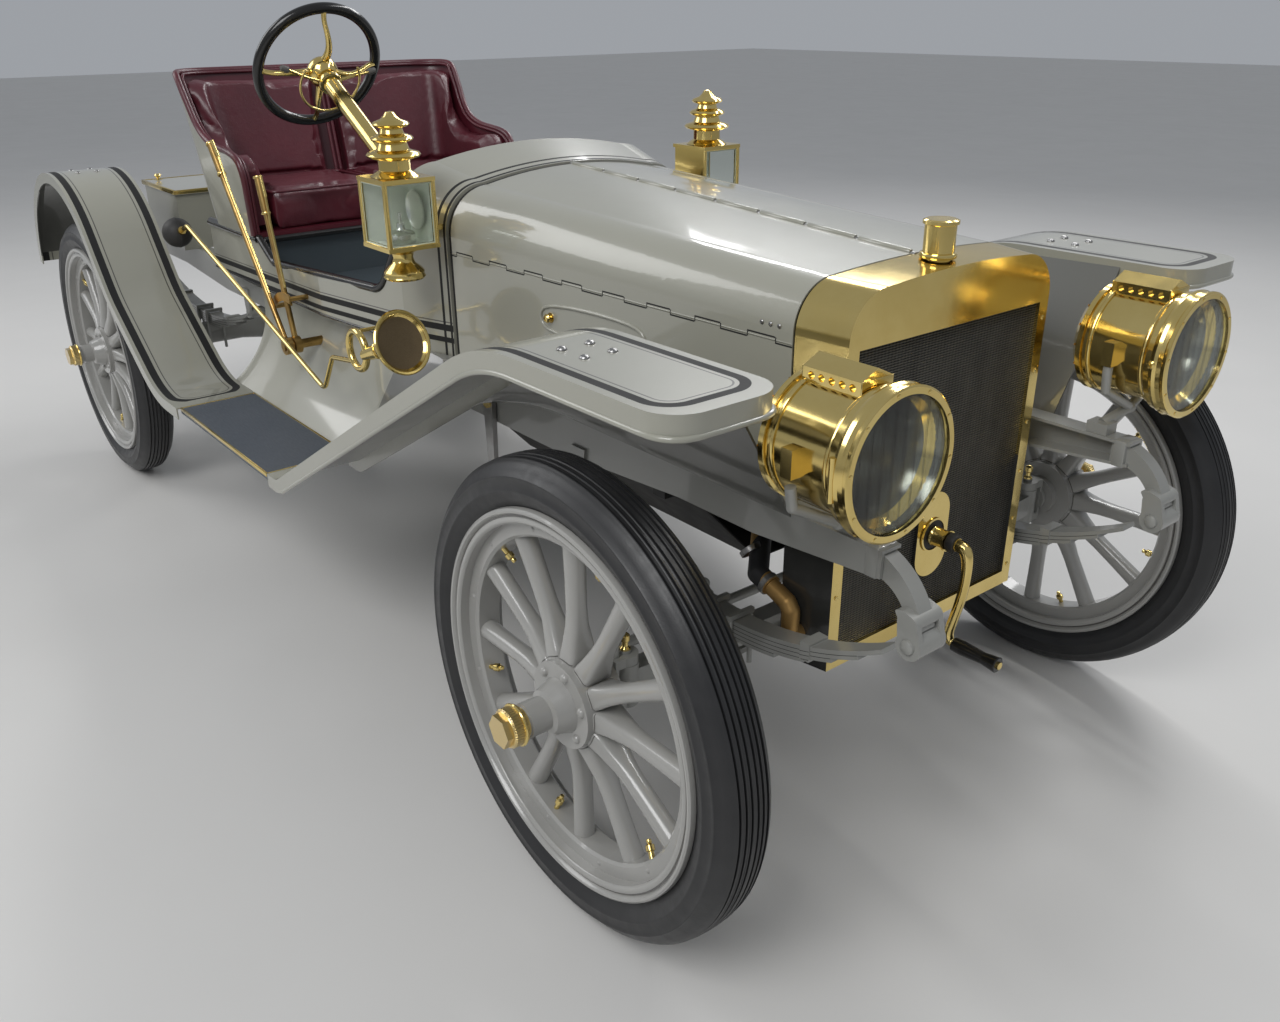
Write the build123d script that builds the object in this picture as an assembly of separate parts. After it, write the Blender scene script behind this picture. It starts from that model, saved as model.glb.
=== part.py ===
"""An open two-seat runabout of the brass era, right-hand drive, as an assembly of its pieces.

Millimetres, +X to the front, +Y to the left, +Z up. Sizes below are measured from the middle of the
front axle line; place() then moves each piece so that the origin is on the ground under the middle
of the car's length. Pieces of the right side (Y below zero) are drawn and the left ones mirrored.
"""
from math import atan2, cos, degrees, hypot, radians, sin, tan
import os

from build123d import *

# Where the row's origin lies behind the front axle line.
FRONT_AXLE_X = 1435.0

# Wheels and tyres. The tyre stands on the ground, so its radius is the axle height.
WHEELBASE = 2812.0
TREAD = 1422.0
TYRE_R = 438.0
TYRE_HALF_W = 57.0
TREAD_HALF_W = 38.0
BEAD_R = 330.0
RIM_LIP_R = 353.5
RIM_HALF_W = 45.0
RIM_SHEET = 5.0
FELLOE_R = 296.0
FELLOE_HALF_W = 27.0
SPOKE_COUNT = 12
SPOKE_R = (14.5, 18.0)
WEDGE_END_R = 150.0
HUB_FLANGE_R = 80.0
HUB_HALF_W = 32.0
HUB_FLANGE_T = 9.0
HUB_DOME_R = 47.0
HUB_BARREL_R = 31.0
HUB_INNER_END = 58.0
HUB_SPINDLE_DEPTH = 96.0
CAP_R = 35.0
CAP_LEN = 40.0
FRONT_CAP_FACE = 166.0
REAR_CAP_FACE = 155.0
DRUM_R = 165.0
DRUM_W = 46.0
SPINDLE_R = 20.0
RUNNING_FIT = 0.05
SEAT_GAP = 0.3

# Frame.
RAIL_Y = 362.0
RAIL_W = 46.0
RAIL_TOP = 756.0
RAIL_DEPTH = 72.0
RAIL_TIP_DEPTH = 48.0
RAIL_DEEP = 100.0
RAIL_SHEET = 6.0
RAIL_FRONT_X = 366.0
RAIL_REAR_X = -3336.0
RAIL_TAPER_FRONT = (-120.0, -520.0)
RAIL_TAPER_REAR = (-2500.0, -2900.0)
HORN_W = 32.0
BARREL_X = 438.0
BARREL_Z = 622.0
BARREL_R = 24.0
EAR_T = 11.0
CROSS_XS = (20.0, -1520.0, -2130.0, -3240.0)
CROSS_W = 60.0
RACK_HOLE_R = 6.5
RACK_HOLE_DX = 30.0
RACK_HOLE_DY = 240.0

# Springs: half length, eye height and thickness of a leaf.
SPRING_W = 42.0
LEAF_T = 8.0
LEAF_COUNT = 5
FRONT_SPRING_HALF = 438.0
FRONT_SPRING_SAG = 138.0
REAR_SPRING_HALF = 500.0
REAR_SPRING_SAG = 92.0
REAR_EYE_Z = 612.0
EYE_R = 17.0
PIN_R = 8.0

# Front axle and steering.
KINGPIN_Y = 610.0
REAR_TUBE_R = 40.0
KINGPIN_R = 11.0
AXLE_BOSS_R = 25.0
AXLE_BOSS_H = 66.0
AXLE_BEAM_H = 54.0
AXLE_BEAM_W = 42.0
STEER_EAR_T = 18.0
STEER_EAR_GAP = 0.5
TIE_ARM = 150.0
TIE_ROD_Z = 392.0
TIE_ROD_R = 11.0
BALL_R = 15.0
DRAG_ARM = 185.0
DRAG_Z = 530.0
DRAG_ROD_R = 9.0
DROP_ARM_X = -780.0
DROP_PIVOT_Z = 706.0
DROP_ARM_T = 12.0
DROP_SHAFT_R = 16.0

# Steering column and wheel.
COLUMN_Y = -300.0
STEER_HUB_X = -1728.0
STEER_HUB_Z = 1388.0
COLUMN_TILT = 30.5
COLUMN_R = 23.0
RIM_R = 166.0
RIM_TUBE_R = 14.0
STEER_BOX = (150.0, 62.0)

# Engine and gearbox, one plain block, and the pan below.
ENGINE_X = (-880.0, -110.0)
ENGINE_HALF_W = 125.0
ENGINE_Z = (540.0, 985.0)
GEARBOX_X = (-1460.0, -900.0)
GEARBOX_HALF_W = 110.0
GEARBOX_Z = (560.0, 745.0)
PAN_X = (-1000.0, -140.0)
PAN_Z = 470.0
PAN_SHEET = 2.5

# Radiator.
RAD_FRONT_X = 183.0
RAD_REAR_X = 80.0
RAD_FRONT_HALF = 283.0
RAD_REAR_HALF = 302.0
RAD_LOW = 405.0
RAD_TOP = 1118.0
RAD_CROWN = 8.0
RAD_SHOULDER_R = 88.0
CORE_HALF = 256.0
CORE_Z = (436.0, 1012.0)
CORE_X = (96.0, 176.0)
FILLER_R = 27.0
FILLER_X = 128.0
FILLER_TOP = 1190.0

# Hood: four panels about a centre rod, with side hinges.
HOOD_FRONT_X = 75.0
HOOD_REAR_X = -980.0
HOOD_TOP_FRONT = 1122.0
HOOD_TOP_REAR = 1180.0
HOOD_REAR_HALF = 355.0
HOOD_CROWN = (8.0, 26.0)
HOOD_SHOULDER_R = (88.0, 108.0)
HOOD_LOW = 762.0
HOOD_HINGE_Z = 1008.0
SHEET = 3.0
HOOD_ROD_R = 4.0
SIDE_ROD_R = 2.0
LEDGE_GAP = 5.0

# Cowl and body.
COWL_REAR_X = -1150.0
COWL_HALF = (360.0, 402.0)
COWL_TOP = (1184.0, 1222.0)
COWL_CROWN = (26.0, 30.0)
COWL_SHOULDER_R = (108.0, 120.0)
COWL_WALL = 14.0
BODY_LOW = 756.3
BODY_HALF = 445.0
BODY_WIDE_X = -1560.0
BODY_REAR_X = -2385.0
BODY_WALL = 18.0
FLOOR_T = 16.0
CUTOUT_Z = 866.0
CUTOUT_X = (-1250.0, -1880.0)
SILL_FRONT_Z = 1012.0
SEAT_FRONT_X = -1985.0
SEAT_BASE_Z = 908.0
SEAT_BASE_T = 14.0

# Seat.
SEAT_OVERHANG = 7.0
SEAT_FLARE = 34.0
SEAT_HALF_LOW = BODY_HALF + SEAT_OVERHANG
SEAT_HALF_TOP = SEAT_HALF_LOW + SEAT_FLARE
SEAT_REAR_LOW = -2392.0
SEAT_REAR_TOP = -2478.0
SEAT_TOP = 1352.0
SEAT_CORNER_R = 130.0
SEAT_WALL = 12.0
PAD_T = 62.0
ARM_Z = 1148.0
CUSHION_TOP = 1032.0
CUSHION_GAP = 5.0

# Box behind the seat.
BOX_X = (-3090.0, -2745.0)
BOX_HALF = 430.0
BOX_Z = (756.3, 946.0)
BOX_WALL = 16.0
LID_T = 14.0
LID_LIP = 8.0

# Fenders, running boards and aprons.
FENDER_IN = 555.0
FENDER_OUT = 775.0
REAR_FENDER_OUT = 788.0
FENDER_SHEET = 4.0
FENDER_LIP = 34.0
FRONT_FENDER_TOP = 1048.0
FRONT_FENDER_END = 318.0
FENDER_CORNER_R = 62.0
BOARD_Z = 478.0
BOARD_T = 16.0
BOARD_X = (-(WHEELBASE - 927.0), -1195.0)
REAR_ARCH_DX = 88.0
REAR_ARCH_Z = 600.0
REAR_ARCH_R = 435.0
APRON_T = 4.0
APRON_FRONT_X = 170.0
APRON_REAR_X = -2240.0
IRON_R = 10.0

# Lamps.
LAMP_Y = 426.0
LAMP_Z = 927.0
LAMP_FACE_X = 420.0
LAMP_DOOR_R = 120.0
LAMP_DRUM_R = 103.0
LAMP_DRUM_LEN = 158.0
LAMP_DOOR_LEN = 44.0
LAMP_GLASS_R = 110.0
FORK_X = 308.0
FORK_R = 9.0
POST_X = 290.0
SIDE_LAMP_X = -1005.0
SIDE_LAMP_Y = 464.0
SIDE_LAMP_Z = 961.0
SIDE_LAMP_W = 120.0
SIDE_LAMP_RIM = 4.0
SIDE_LAMP_BODY = (72.0, 228.0)

# Crank.
CRANK_Z = 600.0
CRANK_SHAFT_R = 13.0
CRANK_THROW = 208.0
CRANK_ARM_X = 240.0
CRANK_GRIP_LEN = 112.0
CRANK_GRIP_R = 14.0

# Muffler.
MUFFLER_X = (-2060.0, -1600.0)
MUFFLER_Y = 190.0
MUFFLER_Z = 610.0
MUFFLER_R = 62.0
EXHAUST_FRONT_X = -300.0
EXHAUST_R = 24.0
TAIL_END_X = -2180.0
TAIL_R = 20.0

# Hand levers and horn.
LEVER_Y = BODY_HALF + 67.0
LEVER_PIVOT = (-1675.0, 660.0)
LEVER_SHAFT_R = 13.0
LEVER_R = 8.0
LEVER_BOSS_R = 24.0
LEVER_GRIP = (10.5, 105.0)
BRAKE_TIP = (-2059.0, 1179.0)
GEAR_TIP = (-1790.0, 1112.0)
GEAR_INSET = 26.0
RATCHET_R = (126.0, 150.0)
RATCHET_ANGLES = (78.0, 140.0)
RATCHET_POST_R = 7.0
HORN_Y = 545.0
BULB = (-2405.0, 880.0)
BULB_R = 46.0
HORN_TUBE_R = 6.5
HORN_BEND = [(-1365.0, 618.0), (-1290.0, 722.0), (-1159.0, 741.0)]
HORN_COIL = (-1130.0, 776.0)
HORN_COIL_R = 46.0
HORN_COIL_TUBE_R = 9.0
HORN_MOUTH = (-1092.0, 772.0)
HORN_STAY_R = 5.0
HORN_STAY_END = 380.0


def block(x, y, z):
    """Box between its lowest and highest coordinate along each axis."""
    ends = (x, y, z)
    return Pos(*[(a + b) / 2 for a, b in ends]) * Box(*[b - a for a, b in ends])


def rod(start, end, radius):
    """Round bar between two points."""
    start, end = Vector(*start), Vector(*end)
    along = Plane(origin=start, z_dir=end - start)
    return along * Cylinder(radius, (end - start).length, align=(Align.CENTER, Align.CENTER, Align.MIN))


def bent_rod(points, radius):
    """Round bar along a run of points, with a ball at each bend."""
    bar = None
    for index, point in enumerate(points[:-1]):
        piece = rod(point, points[index + 1], radius)
        bar = piece if bar is None else bar + Pos(*point) * Sphere(radius) + piece
    return bar


def tube_run(plane, points, bends, radius):
    """Round tube along straight runs in one plane, joined by bends of the given radii."""
    path = plane * FilletPolyline(*points, radius=bends)
    return sweep(Plane(origin=path @ 0, z_dir=path % 0) * Circle(radius), path=path)


def turned(profile, origin, direction):
    """Solid of revolution from (radius, distance along the axis) points."""
    face = make_face(Plane.XZ * Polyline(*profile, close=True))
    return Plane(origin=origin, z_dir=direction) * revolve(face, Axis.Z)


def slab(face, near, far):
    """Side-view face (x, z) given thickness from one distance right of the middle to another."""
    return extrude(Plane.XZ.offset(near) * face, far - near)


def outline(points, radii=0):
    """Closed face from points, its corners rounded by one radius or by a list of them."""
    if not radii:
        return make_face(Polyline(*points, close=True))
    return make_face(FilletPolyline(*points, radius=radii, close=True))


def mirrored(shape):
    """The same piece on the left."""
    return mirror(shape, about=Plane.XZ)


def both(shape):
    """The shape and its mirror image on the car's left."""
    return [shape, mirrored(shape)]


def cross_section(x):
    """Plane at x whose own axes are the car's Y and Z."""
    return Plane(origin=(x, 0, 0), x_dir=(0, 1, 0), z_dir=(1, 0, 0))


def plan(z):
    """Level plane at a height."""
    return Plane(origin=(0, 0, z))


def place(name, *shapes):
    """Writes one node, moved from the front axle line to the row's origin."""
    solids = [solid for shape in shapes for solid in (Pos(FRONT_AXLE_X, 0, 0) * shape).solids()]
    export_step(Compound(children=solids), f"parts/{name}.step")


# Wheels

def hub_profile(cap_face):
    """(radius, inboard distance) of the hub, from the cap's shoulder to the inner end."""
    barrel_end = -(cap_face - CAP_LEN)
    flange = HUB_HALF_W + HUB_FLANGE_T
    return [
        (0, barrel_end),
        (HUB_BARREL_R - 4, barrel_end),
        (HUB_BARREL_R - 4, barrel_end + 10),
        (HUB_BARREL_R, barrel_end + 10),
        (HUB_BARREL_R, -flange - 36),
        (HUB_BARREL_R + 8, -flange - 32),
        (HUB_DOME_R, -flange - 12),
        (HUB_DOME_R + 4, -flange),
        (HUB_FLANGE_R, -flange),
        (HUB_FLANGE_R, flange),
        (HUB_DOME_R, flange),
        (HUB_DOME_R, HUB_INNER_END),
        (0, HUB_INNER_END),
    ]


def rim_profile():
    """Felloe and steel rim in one section, as (radius, sideways) points."""
    lip_foot = RIM_HALF_W - RIM_SHEET
    return [
        (FELLOE_R, -FELLOE_HALF_W + 5),
        (FELLOE_R + 5, -FELLOE_HALF_W),
        (BEAD_R - RIM_SHEET, -FELLOE_HALF_W),
        (BEAD_R - RIM_SHEET, -RIM_HALF_W),
        (RIM_LIP_R, -RIM_HALF_W),
        (RIM_LIP_R, -lip_foot),
        (BEAD_R, -lip_foot),
        (BEAD_R, lip_foot),
        (RIM_LIP_R, lip_foot),
        (RIM_LIP_R, RIM_HALF_W),
        (BEAD_R - RIM_SHEET, RIM_HALF_W),
        (BEAD_R - RIM_SHEET, FELLOE_HALF_W),
        (FELLOE_R + 5, FELLOE_HALF_W),
        (FELLOE_R, FELLOE_HALF_W - 5),
    ]


def spoke():
    """One spoke along +X: a wedge at the hub, a thin waist, then a taper out to the felloe."""
    share = tan(radians(180 / SPOKE_COUNT))
    root_r = HUB_FLANGE_R - 18
    root = Plane.YZ.offset(root_r) * Rectangle(2 * HUB_HALF_W, 2 * root_r * share)
    neck = Plane.YZ.offset(WEDGE_END_R) * Circle(SPOKE_R[0])
    foot = Plane.YZ.offset(FELLOE_R + 4) * Circle(SPOKE_R[1])
    return loft([root.face(), neck.face()]) + loft([neck.face(), foot.face()])


def wheel(cap_face, drum):
    """Right-hand wheel about the Y axis, its cap towards -Y."""
    body = turned(hub_profile(cap_face), (0, 0, 0), (0, 1, 0))
    body += turned(rim_profile(), (0, 0, 0), (0, 1, 0))
    one = spoke()
    body += [Rot(0, turn * 360 / SPOKE_COUNT, 0) * one for turn in range(SPOKE_COUNT)]
    if drum:
        body += turned(drum_profile(), (0, 0, 0), (0, 1, 0))
    bore = rod((0, HUB_INNER_END + 1, 0), (0, -HUB_SPINDLE_DEPTH, 0), SPINDLE_R + RUNNING_FIT)
    return body - bore


def drum_profile():
    """Brake drum on the hub's inner side, open inwards."""
    back = HUB_HALF_W + HUB_FLANGE_T
    return [
        (HUB_DOME_R - 4, back - 2),
        (DRUM_R, back - 2),
        (DRUM_R, back + DRUM_W),
        (DRUM_R - 6, back + DRUM_W),
        (DRUM_R - 6, back + 6),
        (HUB_DOME_R - 4, back + 6),
    ]


def hub_cap(cap_face):
    """Six-sided cap with a round skirt."""
    skirt = turned(
        [
            (0, -cap_face + CAP_LEN),
            (CAP_R, -cap_face + CAP_LEN),
            (CAP_R, -cap_face + 16),
            (CAP_R - 3, -cap_face + 12),
            (0, -cap_face + 12),
        ],
        (0, 0, 0),
        (0, 1, 0),
    )
    hexagon = Plane.XZ.offset(cap_face - 14) * RegularPolygon(CAP_R - 5, 6)
    return skirt + extrude(hexagon, 14)


def tyre():
    """Section with straight bead flanks, round side walls and a low crowned tread."""
    half = RIM_HALF_W - RIM_SHEET - SEAT_GAP
    low, high = BEAD_R + SEAT_GAP, TYRE_R
    shoulder = TYRE_R - 7
    left = [
        Line((low, -half), (RIM_LIP_R, -half)),
        ThreePointArc((RIM_LIP_R, -half), (RIM_LIP_R + 40, -TYRE_HALF_W), (shoulder, -TREAD_HALF_W)),
    ]
    right = [
        ThreePointArc((shoulder, TREAD_HALF_W), (RIM_LIP_R + 40, TYRE_HALF_W), (RIM_LIP_R, half)),
        Line((RIM_LIP_R, half), (low, half)),
        Line((low, half), (low, -half)),
    ]
    crown = ThreePointArc((shoulder, -TREAD_HALF_W), (high, 0), (shoulder, TREAD_HALF_W))
    section = make_face(left + [crown] + right)
    return Rot(-90, 0, 0) * revolve(Plane.XZ * section, Axis.Z)


def build_wheels():
    """Four wheels; the row gives each its name, x, side and cap."""
    rows = [
        ("front_right", 0, -1, FRONT_CAP_FACE, False),
        ("front_left", 0, 1, FRONT_CAP_FACE, False),
        ("rear_right", -WHEELBASE, -1, REAR_CAP_FACE, True),
        ("rear_left", -WHEELBASE, 1, REAR_CAP_FACE, True),
    ]
    made = {}
    rubber = tyre()
    for name, x, side, cap_face, drum in rows:
        if cap_face not in made:
            made[cap_face] = (wheel(cap_face, drum), hub_cap(cap_face))
        pieces = made[cap_face] if side < 0 else [mirrored(piece) for piece in made[cap_face]]
        spot = Pos(x, side * TREAD / 2, TYRE_R)
        place("wheel_" + name, *[spot * piece for piece in pieces])
        place("tyre_" + name, spot * rubber)


# Frame

def rail_outline(inset):
    """Side view of a rail, drawn in by the flange thickness where inset is given."""
    low, deep = RAIL_TOP - RAIL_DEPTH + inset, RAIL_TOP - RAIL_DEEP + inset
    return outline(
        [
            (RAIL_REAR_X, RAIL_TOP - inset),
            (RAIL_FRONT_X, RAIL_TOP - inset),
            (RAIL_FRONT_X, RAIL_TOP - RAIL_TIP_DEPTH + inset),
            (CROSS_XS[0] + CROSS_W, low),
            (RAIL_TAPER_FRONT[0], low),
            (RAIL_TAPER_FRONT[1], deep),
            (RAIL_TAPER_REAR[0], deep),
            (RAIL_TAPER_REAR[1], low),
            (RAIL_REAR_X, low),
        ]
    )


def dumb_iron():
    """Curved horn from the rail's front end down to the forked spring eye."""
    low = RAIL_TOP - RAIL_TIP_DEPTH
    back = RAIL_FRONT_X - 40
    top = ThreePointArc((back, RAIL_TOP), (BARREL_X - 24, RAIL_TOP - 42), (BARREL_X + 14, BARREL_Z + 12))
    under = ThreePointArc((BARREL_X - 16, BARREL_Z - 4), (BARREL_X - 42, BARREL_Z + 66), (back, low))
    tip = Line((BARREL_X + 14, BARREL_Z + 12), (BARREL_X - 16, BARREL_Z - 4))
    root = Line((back, low), (back, RAIL_TOP))
    half = HORN_W / 2
    horn = slab(make_face([top, tip, under, root]), RAIL_Y - half, RAIL_Y + half)
    slot_half = SPRING_W / 2 + SEAT_GAP
    ear_r = BARREL_R
    for near in (RAIL_Y - slot_half - EAR_T, RAIL_Y + slot_half):
        horn += slab(Pos(BARREL_X, BARREL_Z) * Circle(ear_r), near, near + EAR_T)
        cheek = outline([(BARREL_X - 20, BARREL_Z - 6), (BARREL_X + 23, BARREL_Z + 2),
                         (BARREL_X + 11, BARREL_Z + 50),
                         (BARREL_X - 26, BARREL_Z + 50)], [4, 6, 16, 12])
        horn += slab(cheek, near, near + EAR_T)
    bridge = outline([(BARREL_X - 32, BARREL_Z + 54), (BARREL_X - 16, BARREL_Z + 30),
                      (BARREL_X + 16, BARREL_Z + 30),
                      (BARREL_X + 11, BARREL_Z + 50), (BARREL_X - 16, BARREL_Z + 58)], [4, 4, 8, 14, 6])
    horn += slab(bridge, RAIL_Y - slot_half - EAR_T, RAIL_Y + slot_half + EAR_T)
    slot = slab(Pos(BARREL_X, BARREL_Z) * Circle(BARREL_R + 4), RAIL_Y - slot_half, RAIL_Y + slot_half)
    eye_path = outline([(BARREL_X - 90, BARREL_Z + 10), (BARREL_X, BARREL_Z + 10), (BARREL_X, BARREL_Z - 60),
                        (BARREL_X - 90, BARREL_Z - 60)])
    slot += slab(eye_path, RAIL_Y - slot_half, RAIL_Y + slot_half)
    pin_hole = slab(Pos(BARREL_X, BARREL_Z) * Circle(PIN_R + RUNNING_FIT), RAIL_Y - 60, RAIL_Y + 60)
    return horn - slot - pin_hole


def side_rail():
    """Pressed channel rail with tapered ends and its dumb iron."""
    near, far = RAIL_Y - RAIL_W / 2, RAIL_Y + RAIL_W / 2
    rail = slab(rail_outline(0), near, far) - slab(rail_outline(RAIL_SHEET), near - 1, far - RAIL_SHEET)
    return rail + dumb_iron()


def drop_shaft_hole():
    """Hole in the right rail's web for the steering case's cross shaft."""
    return slab(Pos(DROP_ARM_X, DROP_PIVOT_Z) * Circle(DROP_SHAFT_R + SEAT_GAP), RAIL_Y, RAIL_Y + RAIL_W)


def cross_member(x):
    """Pressed channel between the rails, open downwards."""
    half = RAIL_Y - RAIL_W / 2
    top = RAIL_TOP - RAIL_SHEET
    depth = 52
    body = block((x - CROSS_W / 2, x + CROSS_W / 2), (-half, half), (top - depth, top))
    hollow = block(
        (x - CROSS_W / 2 + RAIL_SHEET, x + CROSS_W / 2 - RAIL_SHEET),
        (-half - 1, half + 1),
        (top - depth - 1, top - RAIL_SHEET),
    )
    return body - hollow


def rear_cross_member():
    """The last cross member, with the four holes of a luggage rack."""
    member = cross_member(CROSS_XS[-1])
    for dx in (-0.5, 0.5):
        for dy in (-0.5, 0.5):
            x, y = CROSS_XS[-1] + dx * RACK_HOLE_DX, dy * RACK_HOLE_DY
            member -= rod((x, y, RAIL_TOP - 60), (x, y, RAIL_TOP + 10), RACK_HOLE_R)
    return member


def build_frame():
    """Side rails and the cross members between them."""
    rail = side_rail()
    place("side_rails", rail - drop_shaft_hole(), mirrored(rail))
    place("cross_members", *[cross_member(x) for x in CROSS_XS[:-1]], rear_cross_member())
    return rail


# Springs

def leaf_pack(half, sag, eye_z):
    """Side view of a spring: stepped leaves under a main leaf that rises to its eyes."""
    low = eye_z - sag
    radius = (half * half + sag * sag) / (2 * sag)
    centre = low + radius
    pack = None
    for leaf in range(LEAF_COUNT):
        span = half * (1 - 0.17 * leaf)
        inner, outer = radius + leaf * LEAF_T, radius + (leaf + 1) * LEAF_T
        turn = degrees(atan2(span, radius))
        strip = make_face(
            [
                CenterArc((0, centre), inner, 270 - turn, 2 * turn),
                CenterArc((0, centre), outer, 270 - turn, 2 * turn),
                Line(polar(inner, 270 - turn, centre), polar(outer, 270 - turn, centre)),
                Line(polar(inner, 270 + turn, centre), polar(outer, 270 + turn, centre)),
            ]
        )
        pack = strip if pack is None else pack + strip
    return pack


def polar(radius, angle, height):
    """Point of an arc about (0, height), as (x, z)."""
    return (radius * cos(radians(angle)), height + radius * sin(radians(angle)))


def leaf_spring(half, sag, eye_z):
    """One spring about x = 0, with rolled eyes bored for their pins and a centre clip."""
    near, far = RAIL_Y - SPRING_W / 2, RAIL_Y + SPRING_W / 2
    spring = slab(leaf_pack(half, sag, eye_z), near, far)
    for x in (-half, half):
        spring += slab(Pos(x, eye_z) * Circle(EYE_R), near, far)
    for x in (-half, half):
        spring -= slab(Pos(x, eye_z) * Circle(PIN_R + RUNNING_FIT), near - 1, far + 1)
    low = eye_z - sag
    for share in (-0.5, 0.5):
        x = share * half
        rise = sag * share * share
        spring += block((x - 11, x + 11), (-far - 3, -near + 3), (low + rise - 30, low + rise + 5))
    return spring


def u_bolts(low, high, x, spread):
    """Two clips over a spring at its seat: round legs and a top bar each."""
    clips = []
    for side in (-1, 1):
        bar_x = x + side * spread
        half = SPRING_W / 2 + 5 + SEAT_GAP
        clip = rod((bar_x, -RAIL_Y - half, low), (bar_x, -RAIL_Y - half, high), 5)
        clip += rod((bar_x, -RAIL_Y + half, low), (bar_x, -RAIL_Y + half, high), 5)
        clip += block((bar_x - 5, bar_x + 5), (-RAIL_Y - half - 5, -RAIL_Y + half + 5), (high - 5, high + 5))
        clips.append(clip)
    return clips


def hanger(x, eye_z, top_z):
    """Two cheeks beside a spring eye, up to the rail, with the eye's pin through them."""
    near, far = RAIL_Y - SPRING_W / 2, RAIL_Y + SPRING_W / 2
    piece = rod((x, -near + 12, eye_z), (x, -far - 12, eye_z), PIN_R)
    cheek = outline([(x - 14, eye_z - 18), (x + 14, eye_z - 18), (x + 24, top_z), (x - 24, top_z)],
                    [9, 9, 0, 0])
    for start in (near - SEAT_GAP - 8, far + SEAT_GAP):
        piece += slab(cheek, start, start + 8)
    return piece


def build_springs(rail):
    """Leaf springs, with the shackles, hangers and clips that hold them."""
    front = leaf_spring(FRONT_SPRING_HALF, FRONT_SPRING_SAG, BARREL_Z)
    rear = Pos(-WHEELBASE, 0, 0) * leaf_spring(REAR_SPRING_HALF, REAR_SPRING_SAG, REAR_EYE_Z)
    place("front_springs", *both(front))
    place("rear_springs", *both(rear))
    eyes = [(-FRONT_SPRING_HALF, BARREL_Z), (-WHEELBASE - REAR_SPRING_HALF, REAR_EYE_Z),
            (-WHEELBASE + REAR_SPRING_HALF, REAR_EYE_Z)]
    fittings = [hanger(x, z, RAIL_TOP - RAIL_DEPTH + 8) - rail for x, z in eyes]
    fittings.append(rod((BARREL_X, -RAIL_Y + 36, BARREL_Z), (BARREL_X, -RAIL_Y - 36, BARREL_Z), PIN_R))
    low = BARREL_Z - FRONT_SPRING_SAG - LEAF_COUNT * LEAF_T
    fittings += u_bolts(low - AXLE_BEAM_H - 14, low + LEAF_COUNT * LEAF_T + 8, 0, 34)
    low = REAR_EYE_Z - REAR_SPRING_SAG
    fittings += u_bolts(TYRE_R - 52, low + 8, -WHEELBASE, REAR_TUBE_R + 6)
    place("spring_fittings", *[piece for one in fittings for piece in both(one)])


# Axles and steering

def build_front_axle():
    """I-section beam dropped between upswept ends, with kingpins and spring seats."""
    low = BARREL_Z - FRONT_SPRING_SAG - LEAF_COUNT * LEAF_T - SEAT_GAP
    seat_half = RAIL_Y + SPRING_W / 2 + 22
    boss_z = TYRE_R
    beam = outline(
        [
            (-KINGPIN_Y, boss_z + AXLE_BEAM_H / 2 - 4),
            (-seat_half, low),
            (seat_half, low),
            (KINGPIN_Y, boss_z + AXLE_BEAM_H / 2 - 4),
            (KINGPIN_Y, boss_z - AXLE_BEAM_H / 2),
            (seat_half, low - AXLE_BEAM_H),
            (-seat_half, low - AXLE_BEAM_H),
            (-KINGPIN_Y, boss_z - AXLE_BEAM_H / 2),
        ]
    )
    axle = extrude(cross_section(-AXLE_BEAM_W / 2) * beam, AXLE_BEAM_W)
    groove = outline(
        [
            (-KINGPIN_Y + 60, boss_z + AXLE_BEAM_H / 2 - 16),
            (-seat_half, low - 12),
            (seat_half, low - 12),
            (KINGPIN_Y - 60, boss_z + AXLE_BEAM_H / 2 - 16),
            (KINGPIN_Y - 60, boss_z - AXLE_BEAM_H / 2 + 10),
            (seat_half, low - AXLE_BEAM_H + 12),
            (-seat_half, low - AXLE_BEAM_H + 12),
            (-KINGPIN_Y + 60, boss_z - AXLE_BEAM_H / 2 + 10),
        ]
    )
    deep = AXLE_BEAM_W / 2 - 6
    axle -= extrude(cross_section(-AXLE_BEAM_W / 2) * groove, deep)
    axle -= extrude(cross_section(6) * groove, deep)
    pin_half = AXLE_BOSS_H / 2 + STEER_EAR_GAP + STEER_EAR_T + 6
    for side in (-1, 1):
        y = side * KINGPIN_Y
        axle += rod((0, y, boss_z - AXLE_BOSS_H / 2), (0, y, boss_z + AXLE_BOSS_H / 2), AXLE_BOSS_R)
        axle += rod((0, y, boss_z - pin_half), (0, y, boss_z + pin_half), KINGPIN_R)
        seat_y = side * RAIL_Y
        axle += block((-48, 48), (seat_y - SPRING_W / 2, seat_y + SPRING_W / 2), (low - 12, low))
    place("front_axle", axle)


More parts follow.
